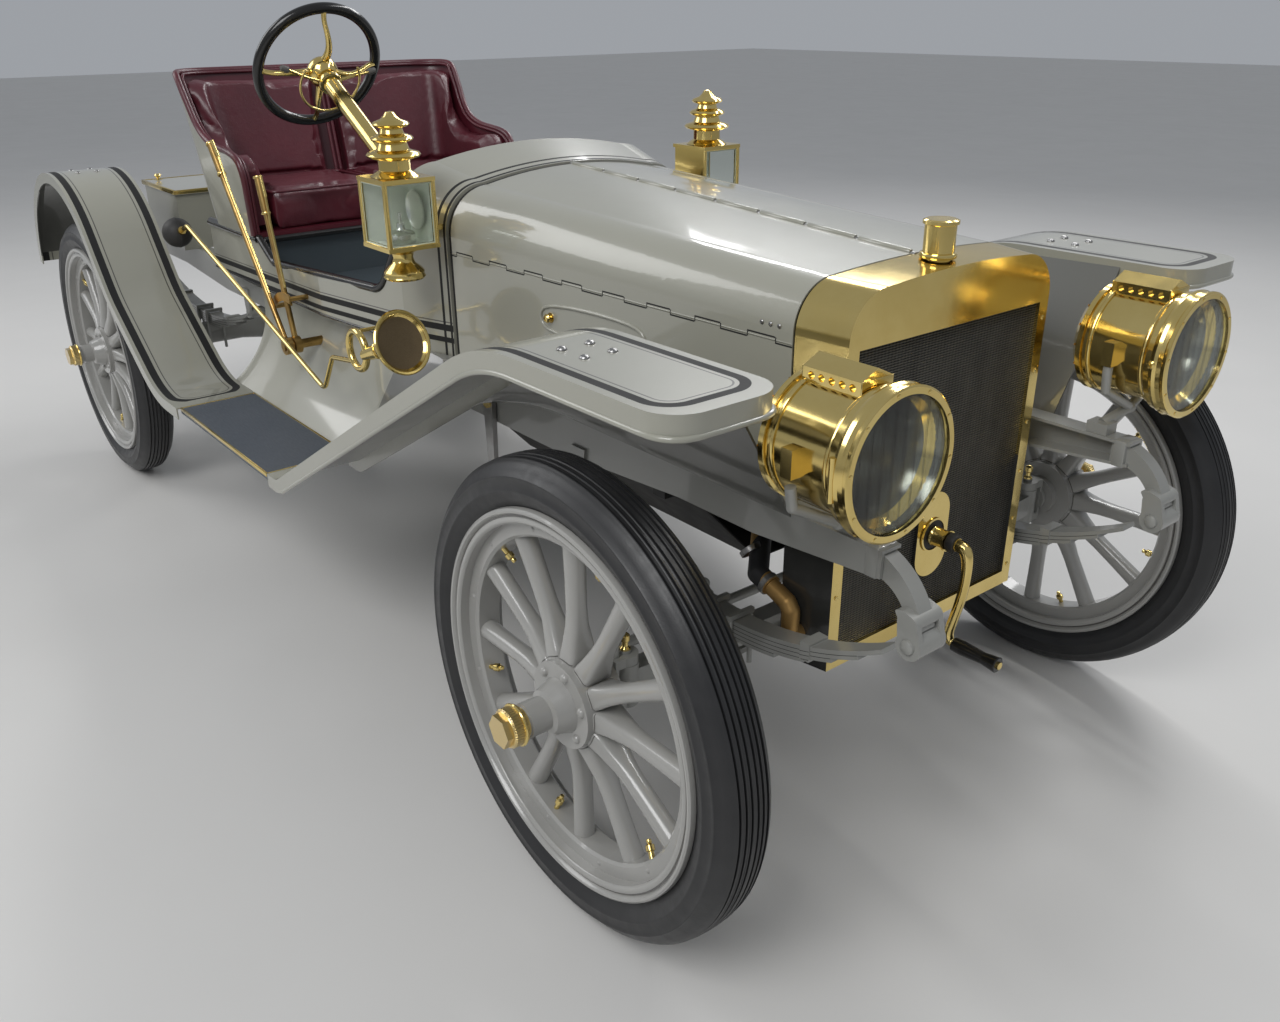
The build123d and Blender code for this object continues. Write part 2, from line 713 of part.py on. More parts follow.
def knuckle():
    """Right-hand steering knuckle: fork about the kingpin, spindle, and tie rod arm."""
    boss_half = AXLE_BOSS_H / 2 + STEER_EAR_GAP
    body = None
    for low in (TYRE_R - boss_half - STEER_EAR_T, TYRE_R + boss_half):
        ear = rod((0, -KINGPIN_Y, low), (0, -KINGPIN_Y, low + STEER_EAR_T), 24)
        ear += block((-20, 20), (-KINGPIN_Y - 36, -KINGPIN_Y), (low, low + STEER_EAR_T))
        body = ear if body is None else body + ear
    web_y = -KINGPIN_Y - AXLE_BOSS_R - 4
    body += block((-20, 20), (-KINGPIN_Y - 36, web_y),
                  (TYRE_R - boss_half - STEER_EAR_T, TYRE_R + boss_half + STEER_EAR_T))
    hub_end = TREAD / 2 - HUB_INNER_END
    body += rod((0, -KINGPIN_Y - 30, TYRE_R), (0, -hub_end + 1, TYRE_R), 30)
    tip = TREAD / 2 + HUB_SPINDLE_DEPTH - 4
    body += rod((0, -KINGPIN_Y - 34, TYRE_R), (0, -tip, TYRE_R), SPINDLE_R)
    bore_low, bore_high = TYRE_R - boss_half - STEER_EAR_T - 1, TYRE_R + boss_half + STEER_EAR_T + 1
    body -= rod((0, -KINGPIN_Y, bore_low), (0, -KINGPIN_Y, bore_high), KINGPIN_R + RUNNING_FIT)
    ear_low = TYRE_R - boss_half - STEER_EAR_T
    arm = rod((-12, -KINGPIN_Y - 22, ear_low + 4), (-TIE_ARM, -KINGPIN_Y, TIE_ROD_Z + 34), 10)
    arm += Pos(-TIE_ARM, -KINGPIN_Y, TIE_ROD_Z + 34) * Sphere(11)
    arm += rod((-TIE_ARM, -KINGPIN_Y, TIE_ROD_Z - BALL_R - 4), (-TIE_ARM, -KINGPIN_Y, TIE_ROD_Z + 34), PIN_R)
    return body + arm


def drag_link_arm():
    """Arm on the right knuckle that reaches in over the axle to the drag link's pin."""
    ear_top = TYRE_R + AXLE_BOSS_H / 2 + STEER_EAR_GAP + STEER_EAR_T
    pin_y = -KINGPIN_Y + DRAG_ARM
    root_y, high = -KINGPIN_Y - 25, DRAG_Z + 34
    arm = bent_rod([(0, root_y, ear_top - 4), (0, root_y, high), (0, pin_y, high)], 10)
    arm += Pos(0, pin_y, high) * Sphere(11)
    return arm + rod((0, pin_y, DRAG_Z - BALL_R - 4), (0, pin_y, DRAG_Z + 30), PIN_R)


def rod_end(x, y, z):
    """Round eye about an upright pin."""
    eye = rod((x, y, z - BALL_R), (x, y, z + BALL_R), BALL_R + 3)
    return eye, rod((x, y, z - BALL_R - 1), (x, y, z + BALL_R + 1), PIN_R + RUNNING_FIT)


def build_steering():
    """Knuckles, drop arm and drag link, and the tie rod."""
    right = knuckle()
    place("knuckle_left", mirrored(right))
    place("knuckle_right", right + drag_link_arm())
    tie = rod((-TIE_ARM, -KINGPIN_Y, TIE_ROD_Z), (-TIE_ARM, KINGPIN_Y, TIE_ROD_Z), TIE_ROD_R)
    for side in (-1, 1):
        eye, bore = rod_end(-TIE_ARM, side * KINGPIN_Y, TIE_ROD_Z)
        tie = tie + eye - bore
    place("tie_rod", tie)
    pin_y = -KINGPIN_Y + DRAG_ARM
    link = rod((0, pin_y, DRAG_Z), (DROP_ARM_X, pin_y, DRAG_Z), DRAG_ROD_R)
    eye, bore = rod_end(0, pin_y, DRAG_Z)
    link = link + eye + Pos(DROP_ARM_X, pin_y, DRAG_Z) * Sphere(BALL_R) - bore
    place("drag_link", link)
    arm_near = RAIL_Y + RAIL_W / 2 + 3
    drop = slab(outline([(DROP_ARM_X - 20, DROP_PIVOT_Z + 22), (DROP_ARM_X + 20, DROP_PIVOT_Z + 22),
                         (DROP_ARM_X + 12, DRAG_Z - 14), (DROP_ARM_X - 12, DRAG_Z - 14)], 8),
                arm_near, arm_near + DROP_ARM_T)
    drop -= slab(Pos(DROP_ARM_X, DROP_PIVOT_Z) * Circle(DROP_SHAFT_R + RUNNING_FIT), arm_near - 1,
                 arm_near + DROP_ARM_T + 1)
    place("drop_arm", drop)


def column_axis():
    """Unit vector down the steering column, and the point where it meets the gear case."""
    tilt = radians(COLUMN_TILT)
    along = Vector(cos(tilt), 0, -sin(tilt))
    top = Vector(STEER_HUB_X, COLUMN_Y, STEER_HUB_Z)
    return along, top


def build_column():
    """Column tube, and the gear case whose cross shaft comes out through the rail."""
    along, top = column_axis()
    reach = (DROP_ARM_X - STEER_HUB_X) / cos(radians(COLUMN_TILT))
    foot = top + along * reach
    tube = rod(tuple(top + along * 58.3), tuple(foot), COLUMN_R)
    rail_inner = RAIL_Y - RAIL_W / 2
    case = block((DROP_ARM_X - STEER_BOX[0] / 2, DROP_ARM_X + STEER_BOX[0] / 2),
                 (-rail_inner + 10, -rail_inner + 10 + STEER_BOX[1]),
                 (DROP_PIVOT_Z - 45, foot.Z + 26))
    shaft_end = RAIL_Y + RAIL_W / 2 + 3 + DROP_ARM_T + 4
    shaft = rod((DROP_ARM_X, -rail_inner + 10, DROP_PIVOT_Z), (DROP_ARM_X, -shaft_end, DROP_PIVOT_Z),
                DROP_SHAFT_R)
    place("steering_column", tube + case + shaft)


def steering_plane():
    """Plane at the column's upper end, its normal along the column."""
    along, top = column_axis()
    return Plane(origin=top, x_dir=(0, -1, 0), z_dir=-along)


def build_steering_wheel():
    """Rim ring, and a spider of four arms that rise from the hub to the rim."""
    plane = steering_plane()
    place("steering_rim", plane * Torus(RIM_R, RIM_TUBE_R))
    hub = turned([(0, -58), (28, -58), (36, -46), (41, -30), (38, -14), (27, -3), (12, 2), (0, 2)],
                 (0, 0, 0), (0, 0, 1))
    spider = hub
    for arm in range(4):
        bar = rod((30, 0, -20), (84, 0, -34), 9) + rod((84, 0, -34), (RIM_R - 2, 0, -3), 7)
        bar += Pos(84, 0, -34) * Sphere(9)
        spider += Rot(0, 0, 90 * arm) * bar
    ring = Torus(RIM_R, RIM_TUBE_R + SEAT_GAP)
    place("steering_spider", plane * (spider - ring))


def build_rear_axle():
    """Banjo case, tapered tubes, backing plates and half shafts that end in the hubs."""
    x, z = -WHEELBASE, TYRE_R
    case = Pos(x, 0, z) * Sphere(150)
    case = case & block((x - 105, x + 105), (-140, 140), (z - 150, z + 150))
    plate_y = TREAD / 2 - HUB_HALF_W - HUB_FLANGE_T - DRUM_W - 8
    axle = case
    for side in (-1, 1):
        tube_profile = [(0, 80), (66, 80), (REAR_TUBE_R, 260), (REAR_TUBE_R, plate_y), (0, plate_y)]
        tube = turned(tube_profile, (x, 0, z), (0, side, 0))
        plate = rod((x, side * (plate_y - 6), z), (x, side * plate_y, z), DRUM_R - 2)
        shaft_end = TREAD / 2 + HUB_SPINDLE_DEPTH - 4
        shaft = rod((x, side * plate_y, z), (x, side * shaft_end, z), SPINDLE_R)
        axle = axle + tube + plate + shaft
        pad_y = side * RAIL_Y
        seat_top = REAR_EYE_Z - REAR_SPRING_SAG - LEAF_COUNT * LEAF_T - SEAT_GAP
        axle += block((x - 38, x + 38), (pad_y - SPRING_W / 2, pad_y + SPRING_W / 2), (z, seat_top))
    axle += rod((x + 60, 0, z), (GEARBOX_X[0] - 8, 0, GEARBOX_Z[0] + 70), 36)
    place("rear_axle", axle)


# Engine, pan and exhaust

def build_engine():
    """Engine and gearbox as plain masses."""
    engine = block(ENGINE_X, (-ENGINE_HALF_W, ENGINE_HALF_W), ENGINE_Z)
    gearbox = block(GEARBOX_X, (-GEARBOX_HALF_W, GEARBOX_HALF_W), GEARBOX_Z)
    bell = block((GEARBOX_X[1] - 1, ENGINE_X[0] + 1), (-GEARBOX_HALF_W, GEARBOX_HALF_W),
                 (GEARBOX_Z[0], GEARBOX_Z[1]))
    arm_z = RAIL_TOP - RAIL_SHEET
    inner = RAIL_Y - RAIL_W / 2
    arms = [block((x - 25, x + 25), (-inner, inner), (arm_z - 40, arm_z - 8)) for x in (-200, -640)]
    place("engine", engine + bell + gearbox + arms)
    return engine


def build_pan(rail):
    """Sheet trough under the engine, hung inside the rails."""
    top = RAIL_TOP - RAIL_DEEP - 8
    wide = RAIL_Y - SPRING_W / 2 - 22
    outer = outline([(-wide, top), (-150, PAN_Z), (150, PAN_Z), (wide, top)])
    edge = PAN_SHEET * 1.6
    inner = outline([(-wide + edge, top + 1), (-150 + 1, PAN_Z + PAN_SHEET), (150 - 1, PAN_Z + PAN_SHEET),
                     (wide - edge, top + 1)])
    length = PAN_X[1] - PAN_X[0]
    trough = extrude(cross_section(PAN_X[0]) * outer, length)
    trough -= extrude(cross_section(PAN_X[0] - 1) * inner, length + 2)
    for x in (-220, -640):
        for side in (-1, 1):
            y = sorted((side * (wide - 4), side * (wide + 32)))
            trough += block((x - 18, x + 18), y, (top - 6, top + 44)) - rail - mirrored(rail)
    place("engine_pan", trough)


def build_exhaust():
    """Muffler and pipe on the left, hung from two cross members."""
    y, z = MUFFLER_Y, MUFFLER_Z
    rear, front = MUFFLER_X
    muffler = rod((rear, y, z), (front, y, z), MUFFLER_R)
    muffler += rod((front - 1, y, z), (EXHAUST_FRONT_X, y, z), EXHAUST_R)
    muffler += rod((rear + 1, y, z), (TAIL_END_X, y, z), TAIL_R)
    for x in (rear + 60, front - 80):
        muffler += block((x - 15, x + 15), (y - 8, y + 8), (z + MUFFLER_R - 4, BODY_LOW - SEAT_GAP))
    place("muffler", muffler)


# Radiator

def arch(half, low, top, crown, shoulder):
    """Closed arch section in (y, z): flat foot, upright sides, round shoulders, crowned top."""
    edge = top - crown
    spring_z = edge - shoulder
    inset = half - shoulder
    bend = shoulder * (1 - cos(radians(45)))
    return make_face(
        [
            Line((-half, low), (half, low)),
            Line((half, low), (half, spring_z)),
            ThreePointArc((half, spring_z), (half - bend, edge - bend), (inset, edge)),
            ThreePointArc((inset, edge), (0, top), (-inset, edge)),
            ThreePointArc((-inset, edge), (-half + bend, edge - bend), (-half, spring_z)),
            Line((-half, spring_z), (-half, low)),
        ]
    )


def build_radiator():
    """Bright shell flaring back from its front frame, with the core set in the opening."""
    front = cross_section(RAD_FRONT_X) * arch(RAD_FRONT_HALF, RAD_LOW, RAD_TOP, RAD_CROWN, RAD_SHOULDER_R)
    rear = cross_section(RAD_REAR_X) * arch(RAD_REAR_HALF, RAD_LOW, HOOD_TOP_FRONT, RAD_CROWN, RAD_SHOULDER_R)
    shell = loft([rear.face(), front.face()])
    core_y, core_z = (-CORE_HALF, CORE_HALF), CORE_Z
    shell -= block((RAD_REAR_X - 1, RAD_FRONT_X + 1), core_y, core_z)
    crank_hole = rod((RAD_REAR_X, 0, CRANK_Z), (RAD_FRONT_X + 4, 0, CRANK_Z), CRANK_SHAFT_R + 12)
    core = block(CORE_X, core_y, core_z) - crank_hole
    neck = turned([(0, 0), (FILLER_R - 4, 0), (FILLER_R - 4, 34), (0, 34)], (FILLER_X, 0, RAD_TOP - 8),
                  (0, 0, 1))
    plate = Pos(RAD_FRONT_X, 0, CRANK_Z) * crank_plate()
    cap_low = RAD_TOP + 14
    cap = turned([(0, cap_low + 14), (FILLER_R - 4 + 0.5, cap_low + 14), (FILLER_R - 4 + 0.5, cap_low),
                  (FILLER_R + 1, cap_low), (FILLER_R + 1, FILLER_TOP - 10), (FILLER_R + 5, FILLER_TOP - 8),
                  (FILLER_R + 5, FILLER_TOP - 2), (FILLER_R, FILLER_TOP), (0, FILLER_TOP)],
                 (FILLER_X, 0, 0), (0, 0, 1))
    place("radiator_shell", shell + neck, plate, cap)
    place("radiator_core", core)
    return shell


def crank_plate():
    """Long-round plate on the core's face with the starting crank's hole."""
    face = Plane.YZ * (SlotOverall(176, 92, rotation=90) - Pos(0, 0) * Circle(CRANK_SHAFT_R + RUNNING_FIT))
    return Pos(CORE_X[1] - RAD_FRONT_X + SEAT_GAP, 0, 0) * extrude(face, 5)


def build_hose(engine, shell):
    """Lower water pipe on the right: hose from the engine, then the elbow into the radiator's foot."""
    y = -316
    hose = bent_rod([(ENGINE_X[1] - 40, -ENGINE_HALF_W + 4, 650), (30, y, 560), (66, y, 548)], 20)
    elbow = bent_rod([(66, y, 548), (108, y, 532), (118, y, 518), (118, y, 474), (118, -290, 466)], 17)
    place("water_hose", hose - engine, elbow - hose - shell)


# Hood

def hood_solid(inset):
    """Full hood form drawn in by inset, between the radiator and the cowl."""
    front = cross_section(HOOD_FRONT_X) * arch(
        RAD_REAR_HALF - inset, HOOD_LOW, HOOD_TOP_FRONT - inset, HOOD_CROWN[0], HOOD_SHOULDER_R[0] - inset)
    rear = cross_section(HOOD_REAR_X) * arch(
        HOOD_REAR_HALF - inset, HOOD_LOW, HOOD_TOP_REAR - inset, HOOD_CROWN[1], HOOD_SHOULDER_R[1] - inset)
    return loft([rear.face(), front.face()])


def hood_line(x, front, rear):
    """Value on the straight line between the hood's front and rear ends."""
    return front + (rear - front) * (HOOD_FRONT_X - x) / (HOOD_FRONT_X - HOOD_REAR_X)


def build_hood():
    """Two tops and two sides, split along their hinges."""
    shell = hood_solid(0) - hood_solid(SHEET)
    length = (HOOD_REAR_X, HOOD_FRONT_X)
    mid = SHEET / 2
    rod_clear = HOOD_ROD_R + 0.5
    side_top = HOOD_HINGE_Z - SIDE_ROD_R - 0.2
    beside, above = -HOOD_REAR_HALF * 1.4, HOOD_TOP_REAR * 1.1
    top = shell & block(length, (beside, -rod_clear), (HOOD_HINGE_Z + 1, above))
    side = shell & block(length, (beside, -rod_clear), (HOOD_LOW - 1, side_top))
    edge = [(x, -hood_line(x, RAD_REAR_HALF, HOOD_REAR_HALF) + mid, HOOD_HINGE_Z) for x in length]
    top += rod(edge[0], edge[1], SIDE_ROD_R)
    place("hood_top_right", top)
    place("hood_top_left", mirrored(top))
    place("hood_side_right", side)
    place("hood_side_left", mirrored(side))
    ends = [(x, 0, hood_line(x, HOOD_TOP_FRONT, HOOD_TOP_REAR) - mid)
            for x in (HOOD_REAR_X - LEDGE_GAP + SEAT_GAP, HOOD_FRONT_X + LEDGE_GAP - SEAT_GAP)]
    place("hood_hinge_rod", rod(ends[0], ends[1], HOOD_ROD_R))


# Cowl and body

def build_cowl():
    """Scuttle between the hood and the cockpit, closed in front by the dash board."""
    front_x = HOOD_REAR_X - LEDGE_GAP
    shapes = []
    for inset in (0, COWL_WALL):
        sections = []
        for x, half, top, crown, shoulder in zip(
                (front_x, COWL_REAR_X), COWL_HALF, COWL_TOP, COWL_CROWN, COWL_SHOULDER_R):
            face = arch(half - inset, BODY_LOW, top - inset, crown, shoulder - inset)
            sections.append((cross_section(x) * face).face())
        shapes.append(loft(sections[::-1]))
    dash = shapes[0] & block((front_x - 22, front_x), (-500, 500), (BODY_LOW, 1300))
    along, top = column_axis()
    hole = rod(tuple(top), tuple(top + along * 1000), COLUMN_R + SEAT_GAP)
    place("cowl", (shapes[0] - shapes[1] + dash) - hole)
    return shapes[0]


def body_plan(inset, front, rear):
    """Plan of the body, narrow at the cowl and widening to the cockpit."""
    narrow, wide = COWL_HALF[1] - inset, BODY_HALF - inset
    return outline([(front, -narrow), (BODY_WIDE_X, -wide), (rear, -wide), (rear, wide),
                    (BODY_WIDE_X, wide), (front, narrow)])


def build_body():
    """Open tub: floor with seat riser and rear wall, toe board, and sides with the low entrance."""
    front, rear = COWL_REAR_X - SEAT_GAP, BODY_REAR_X
    height = SILL_FRONT_Z - BODY_LOW
    tub = extrude(plan(BODY_LOW) * body_plan(0, front, rear), height)
    well = outline([(front + 1, -COWL_HALF[1] + BODY_WALL), (BODY_WIDE_X, -BODY_HALF + BODY_WALL),
                    (SEAT_FRONT_X, -BODY_HALF + BODY_WALL), (SEAT_FRONT_X, BODY_HALF - BODY_WALL),
                    (BODY_WIDE_X, BODY_HALF - BODY_WALL), (front + 1, COWL_HALF[1] - BODY_WALL)])
    tub -= extrude(plan(BODY_LOW + FLOOR_T) * well, height)
    tub -= block((rear + BODY_WALL, SEAT_FRONT_X - BODY_WALL),
                 (-BODY_HALF + BODY_WALL, BODY_HALF - BODY_WALL),
                 (BODY_LOW + FLOOR_T, BODY_LOW + height))
    over = outline(
        [
            (front + 1, SILL_FRONT_Z + 1),
            (front + 1, SILL_FRONT_Z - 2),
            (front - 24, SILL_FRONT_Z - 22),
            (CUTOUT_X[0], CUTOUT_Z + 14),
            (CUTOUT_X[1], CUTOUT_Z - 14),
            (SEAT_FRONT_X + 14, SEAT_BASE_Z),
            (rear - 1, SEAT_BASE_Z),
            (rear - 1, SILL_FRONT_Z + 1),
        ],
        [0, 0, 18, 80, 44, 20, 0, 0],
    )
    tub -= slab(over, -600, 600)
    board_foot, board_head = (COWL_REAR_X - 190, BODY_LOW + FLOOR_T + SEAT_GAP), (COWL_REAR_X - 20, 910)
    board = outline([board_foot, (board_foot[0] - 16, board_foot[1]), (board_head[0] - 14, board_head[1]),
                     board_head])
    half = COWL_HALF[1] - BODY_WALL - 3
    within = extrude(plan(BODY_LOW - 1) * body_plan(BODY_WALL, front + 2, rear - 2), height + 2)
    place("body_floor", tub & within, slab(board, -half, half))
    sides = tub - within
    place("body_side_right", sides & block((rear - 5, front + 5), (-600, 0),
                                           (BODY_LOW - 5, SILL_FRONT_Z + 5)))
    place("body_side_left", sides & block((rear - 5, front + 5), (0, 600), (BODY_LOW - 5, SILL_FRONT_Z + 5)))


# Seat

def seat_form(inset, front):
    """Flaring seat form between base and top, its plan a U with round rear corners."""
    faces = []
    for z, half, rear in ((SEAT_BASE_Z, SEAT_HALF_LOW, SEAT_REAR_LOW),
                          (SEAT_TOP, SEAT_HALF_TOP, SEAT_REAR_TOP)):
        radius = SEAT_CORNER_R - inset
        corner = radius * (1 - cos(radians(45)))
        back, side = rear + inset, half - inset
        edges = [
            Line((front, -side), (back + radius, -side)),
            ThreePointArc((back + radius, -side), (back + corner, -side + corner), (back, -side + radius)),
            Line((back, -side + radius), (back, side - radius)),
            ThreePointArc((back, side - radius), (back + corner, side - corner), (back + radius, side)),
            Line((back + radius, side), (front, side)),
            Line((front, side), (front, -side)),
        ]
        faces.append((plan(z) * make_face(edges)).face())
    return loft(faces)


def seat_side(drop):
    """Side view of the seat: arm, sweep up to the back, and the raked front edge."""
    top = SEAT_TOP - drop
    arm = ARM_Z - drop
    return make_face(
        [
            Line((SEAT_FRONT_X - 8, SEAT_BASE_Z), (SEAT_FRONT_X + 12, arm - 60)),
            ThreePointArc((SEAT_FRONT_X + 12, arm - 60), (SEAT_FRONT_X - 8, arm - 14),
                          (SEAT_FRONT_X - 60, arm)),
            Line((SEAT_FRONT_X - 60, arm), (SEAT_FRONT_X - 190, arm + 10)),
            ThreePointArc((SEAT_FRONT_X - 190, arm + 10), (SEAT_FRONT_X - 278, arm + 42),
                          (SEAT_FRONT_X - 332, arm + 112)),
            Line((SEAT_FRONT_X - 332, arm + 112), (SEAT_FRONT_X - 362, top - 44)),
            ThreePointArc((SEAT_FRONT_X - 362, top - 44), (SEAT_FRONT_X - 382, top - 12),
                          (SEAT_FRONT_X - 418, top)),
            Line((SEAT_FRONT_X - 418, top), (SEAT_REAR_TOP - 30, top)),
            Line((SEAT_REAR_TOP - 30, top), (SEAT_REAR_TOP - 30, SEAT_BASE_Z)),
            Line((SEAT_REAR_TOP - 30, SEAT_BASE_Z), (SEAT_FRONT_X - 8, SEAT_BASE_Z)),
        ]
    )


def build_seat():
    """Shell, two cushions, and the back rest whose wings wrap round to the arms."""
    front = SEAT_FRONT_X + 60
    outside, inside = seat_form(0, front), seat_form(SEAT_WALL, front + 1)
    trim = slab(seat_side(0), -600, 600)
    shell = (outside - inside) & trim
    base = block((SEAT_REAR_LOW - 40, SEAT_FRONT_X), (-BODY_HALF, BODY_HALF),
                 (SEAT_BASE_Z, SEAT_BASE_Z + SEAT_BASE_T))
    shell += base & outside
    place("seat_shell", shell)
    hollow = seat_form(SEAT_WALL + PAD_T, front + 1)
    padding = seat_form(SEAT_WALL + SEAT_GAP, front)
    low = SEAT_BASE_Z + SEAT_BASE_T + SEAT_GAP
    behind, beside = SEAT_REAR_TOP - 122, SEAT_HALF_TOP + 34
    half_space = block((behind, SEAT_FRONT_X + 30), (-beside, -CUSHION_GAP), (low, SEAT_TOP + 40))
    pad = (padding - hollow) & slab(seat_side(4), -600, 600) & half_space
    place("seat_back", *both(pad))
    cushion = hollow & block((behind, SEAT_FRONT_X), (-beside, -CUSHION_GAP), (low, CUSHION_TOP))
    inner = seat_form(SEAT_WALL + PAD_T + 2, front + 1)
    cushion = cushion & inner
    place("seat_cushions", *both(cushion))


def build_rear_box():
    """Open box behind the seat with a hinged lid."""
    box = block(BOX_X, (-BOX_HALF, BOX_HALF), BOX_Z)
    inside = block((BOX_X[0] + BOX_WALL, BOX_X[1] - BOX_WALL), (-BOX_HALF + BOX_WALL, BOX_HALF - BOX_WALL),
                   (BOX_Z[0] + BOX_WALL, BOX_Z[1] + 1))
    place("rear_box", box - inside)
    lid = block((BOX_X[0] - LID_LIP, BOX_X[1] + LID_LIP), (-BOX_HALF - LID_LIP, BOX_HALF + LID_LIP),
                (BOX_Z[1] + 0.5, BOX_Z[1] + 0.5 + LID_T))
    place("box_lid", lid)


# Fenders

def offset_points(points, depth):
    """Corners of an open run of straight lines moved to its right-hand side by depth."""
    moved = []
    for index, point in enumerate(points):
        turns = []
        for a, b in zip(points[max(0, index - 1):index + 1], points[max(1, index):index + 2]):
            length = hypot(b[0] - a[0], b[1] - a[1])
            turns.append(((b[1] - a[1]) / length, -(b[0] - a[0]) / length))
        if len(turns) == 1:
            normal = turns[0]
            scale = depth
        else:
            normal = (turns[0][0] + turns[1][0], turns[0][1] + turns[1][1])
            size = hypot(*normal)
            normal = (normal[0] / size, normal[1] / size)
            scale = depth / (normal[0] * turns[0][0] + normal[1] * turns[0][1])
        moved.append((point[0] + normal[0] * scale, point[1] + normal[1] * scale))
    return moved


def ribbon(points, radii, top, low, arc=None):
    """Side-view face between two copies of a run of lines and arcs, moved down by top and by low.

    A corner that turns towards the offset side has a negative radius.
    """
    edges = []
    ends = []
    for depth in (top, low):
        moved = offset_points(points, depth)
        run = FilletPolyline(*moved, radius=[abs(radius + depth) for radius in radii])
        edges.extend(run.edges())
        start = moved[0]
        if arc:
            centre, radius, angle, sweep_angle = arc
            edges.append(CenterArc(centre, radius - depth, angle, sweep_angle))
            start = arc_point(*centre, radius - depth, angle + sweep_angle)
        ends.append((start, moved[-1]))
    edges.append(Line(ends[0][0], ends[1][0]))
    edges.append(Line(ends[0][1], ends[1][1]))
    return make_face(edges)


def front_fender_run():
    """Top line of the front fender from the running board up to its front end."""
    foot = BOARD_X[1]
    points = [(foot - 40, BOARD_Z + 1), (foot + 16, BOARD_Z + 1), (-172, FRONT_FENDER_TOP - 3),
              (FRONT_FENDER_END, FRONT_FENDER_TOP)]
    return points, [60, -400]


def rear_fender_run():
    """Top line of the rear fender from its arch down to the running board, and the arch itself."""
    cx, cz = -WHEELBASE - REAR_ARCH_DX, REAR_ARCH_Z
    start = arc_point(cx, cz, REAR_ARCH_R, 40)
    vertex = (start[0] + 150, start[1] - 150 * tan(radians(50)))
    foot = BOARD_X[0]
    points = [start, vertex, (foot - 200, BOARD_Z + 1), (foot - 1, BOARD_Z + 1)]
    return points, [330, 300], ((cx, cz), REAR_ARCH_R, 40, 130)


def fender(run, out, rear, front, corners):
    """Pressed sheet with its edge turned down all round, its free end rounded in plan."""
    points, radii, *arc = run
    arc = arc[0] if arc else None
    band = slab(ribbon(points, radii, 0, FENDER_LIP, arc), FENDER_IN, out)
    under = slab(ribbon(points, radii, FENDER_SHEET, FENDER_LIP + 8, arc), FENDER_IN, out)
    pieces = []
    for inset in (0, FENDER_SHEET):
        ends = (rear + (inset if corners[0] else -5), front - (inset if corners[-1] else -5))
        rounded = [max(radius - inset, 0) for radius in corners]
        face = outline([(ends[0], -out + inset), (ends[1], -out + inset), (ends[1], -FENDER_IN - inset),
                        (ends[0], -FENDER_IN - inset)], [rounded[0], rounded[1], rounded[1], rounded[0]])
        pieces.append(extrude(face, 1400))
    return (band & pieces[0]) - (under & pieces[1])


def build_fenders():
    """Front and rear fenders on both sides."""
    corner = FENDER_CORNER_R
    front = fender(front_fender_run(), FENDER_OUT, BOARD_X[1] - 60, FRONT_FENDER_END, (0, corner))
    place("front_fenders", *both(front))
    rear = fender(rear_fender_run(), REAR_FENDER_OUT, -WHEELBASE - REAR_ARCH_DX - REAR_ARCH_R,
                  BOARD_X[0] - 1, (0, 0))
    place("rear_fenders", *both(rear))


def build_boards():
    """Running boards between the fenders."""
    board = block((BOARD_X[0], BOARD_X[1] - 42), (-FENDER_OUT, -FENDER_IN), (BOARD_Z - BOARD_T, BOARD_Z))
    place("running_boards", *both(board))


def build_aprons():
    """Valance from the frame out to the front fender, and splash apron along the board."""
    top_y = RAIL_Y + RAIL_W / 2 + SEAT_GAP
    top_z = RAIL_TOP - 6
    low_y = FENDER_IN - SEAT_GAP
    high, foot = (-172, FRONT_FENDER_TOP - 24), (BOARD_X[1] - 8, BOARD_Z - 8)
    share = (high[1] - top_z - 1) / (high[1] - foot[1])
    level = (high[0] + share * (foot[0] - high[0]), top_z + 1)
    rows = [(APRON_FRONT_X, FRONT_FENDER_TOP - 14), high, level, foot]
    strips = []
    for x, z in rows:
        strip = make_face(Polyline((-top_y, top_z - APRON_T), (-top_y, top_z + APRON_T), (-low_y, z),
                                   (-low_y, z - APRON_T * 2), close=True))
        strips.append((cross_section(x) * strip).face())
    valance = loft(strips, ruled=True)
    low = BOARD_Z - BOARD_T
    mid_y, mid_z = (top_y + low_y) / 2 - 26, (top_z + low) / 2 - 20
    curve = [
        ThreePointArc((-top_y, top_z), (-mid_y, mid_z), (-low_y, low)),
        Line((-low_y, low), (-low_y, low + APRON_T * 2)),
        ThreePointArc((-low_y, low + APRON_T * 2), (-mid_y - APRON_T, mid_z + APRON_T),
                      (-top_y - APRON_T, top_z)),
        Line((-top_y - APRON_T, top_z), (-top_y, top_z)),
    ]
    length = BOARD_X[1] - 10 - APRON_REAR_X
    apron = extrude(cross_section(APRON_REAR_X) * make_face(curve), length)
    bite = slab(Pos(APRON_REAR_X - 40, low + 70) * Circle(230), 300, 700)
    shaft = slab(Pos(*LEVER_PIVOT) * Circle(LEVER_SHAFT_R + SEAT_GAP), 300, 700)
    place("splash_aprons", *both(valance), *both(apron - bite - shaft))


def build_irons(rail):
    """Step hangers under the boards, and fender irons from the rails."""
    rail_out = RAIL_Y + RAIL_W / 2 + SEAT_GAP
    low = BOARD_Z - BOARD_T - IRON_R - SEAT_GAP
    irons = []
    for x in (BOARD_X[0] + 120, BOARD_X[1] - 170):
        head = RAIL_TOP - RAIL_DEEP + 30
        iron = bent_rod([(x, -rail_out, head), (x, -rail_out - 12, head - 30), (x, -rail_out - 12, low),
                         (x, -FENDER_OUT + 30, low)], IRON_R)
        irons.append(iron - rail)
    place("step_irons", *[piece for iron in irons for piece in both(iron)])


# Lamps

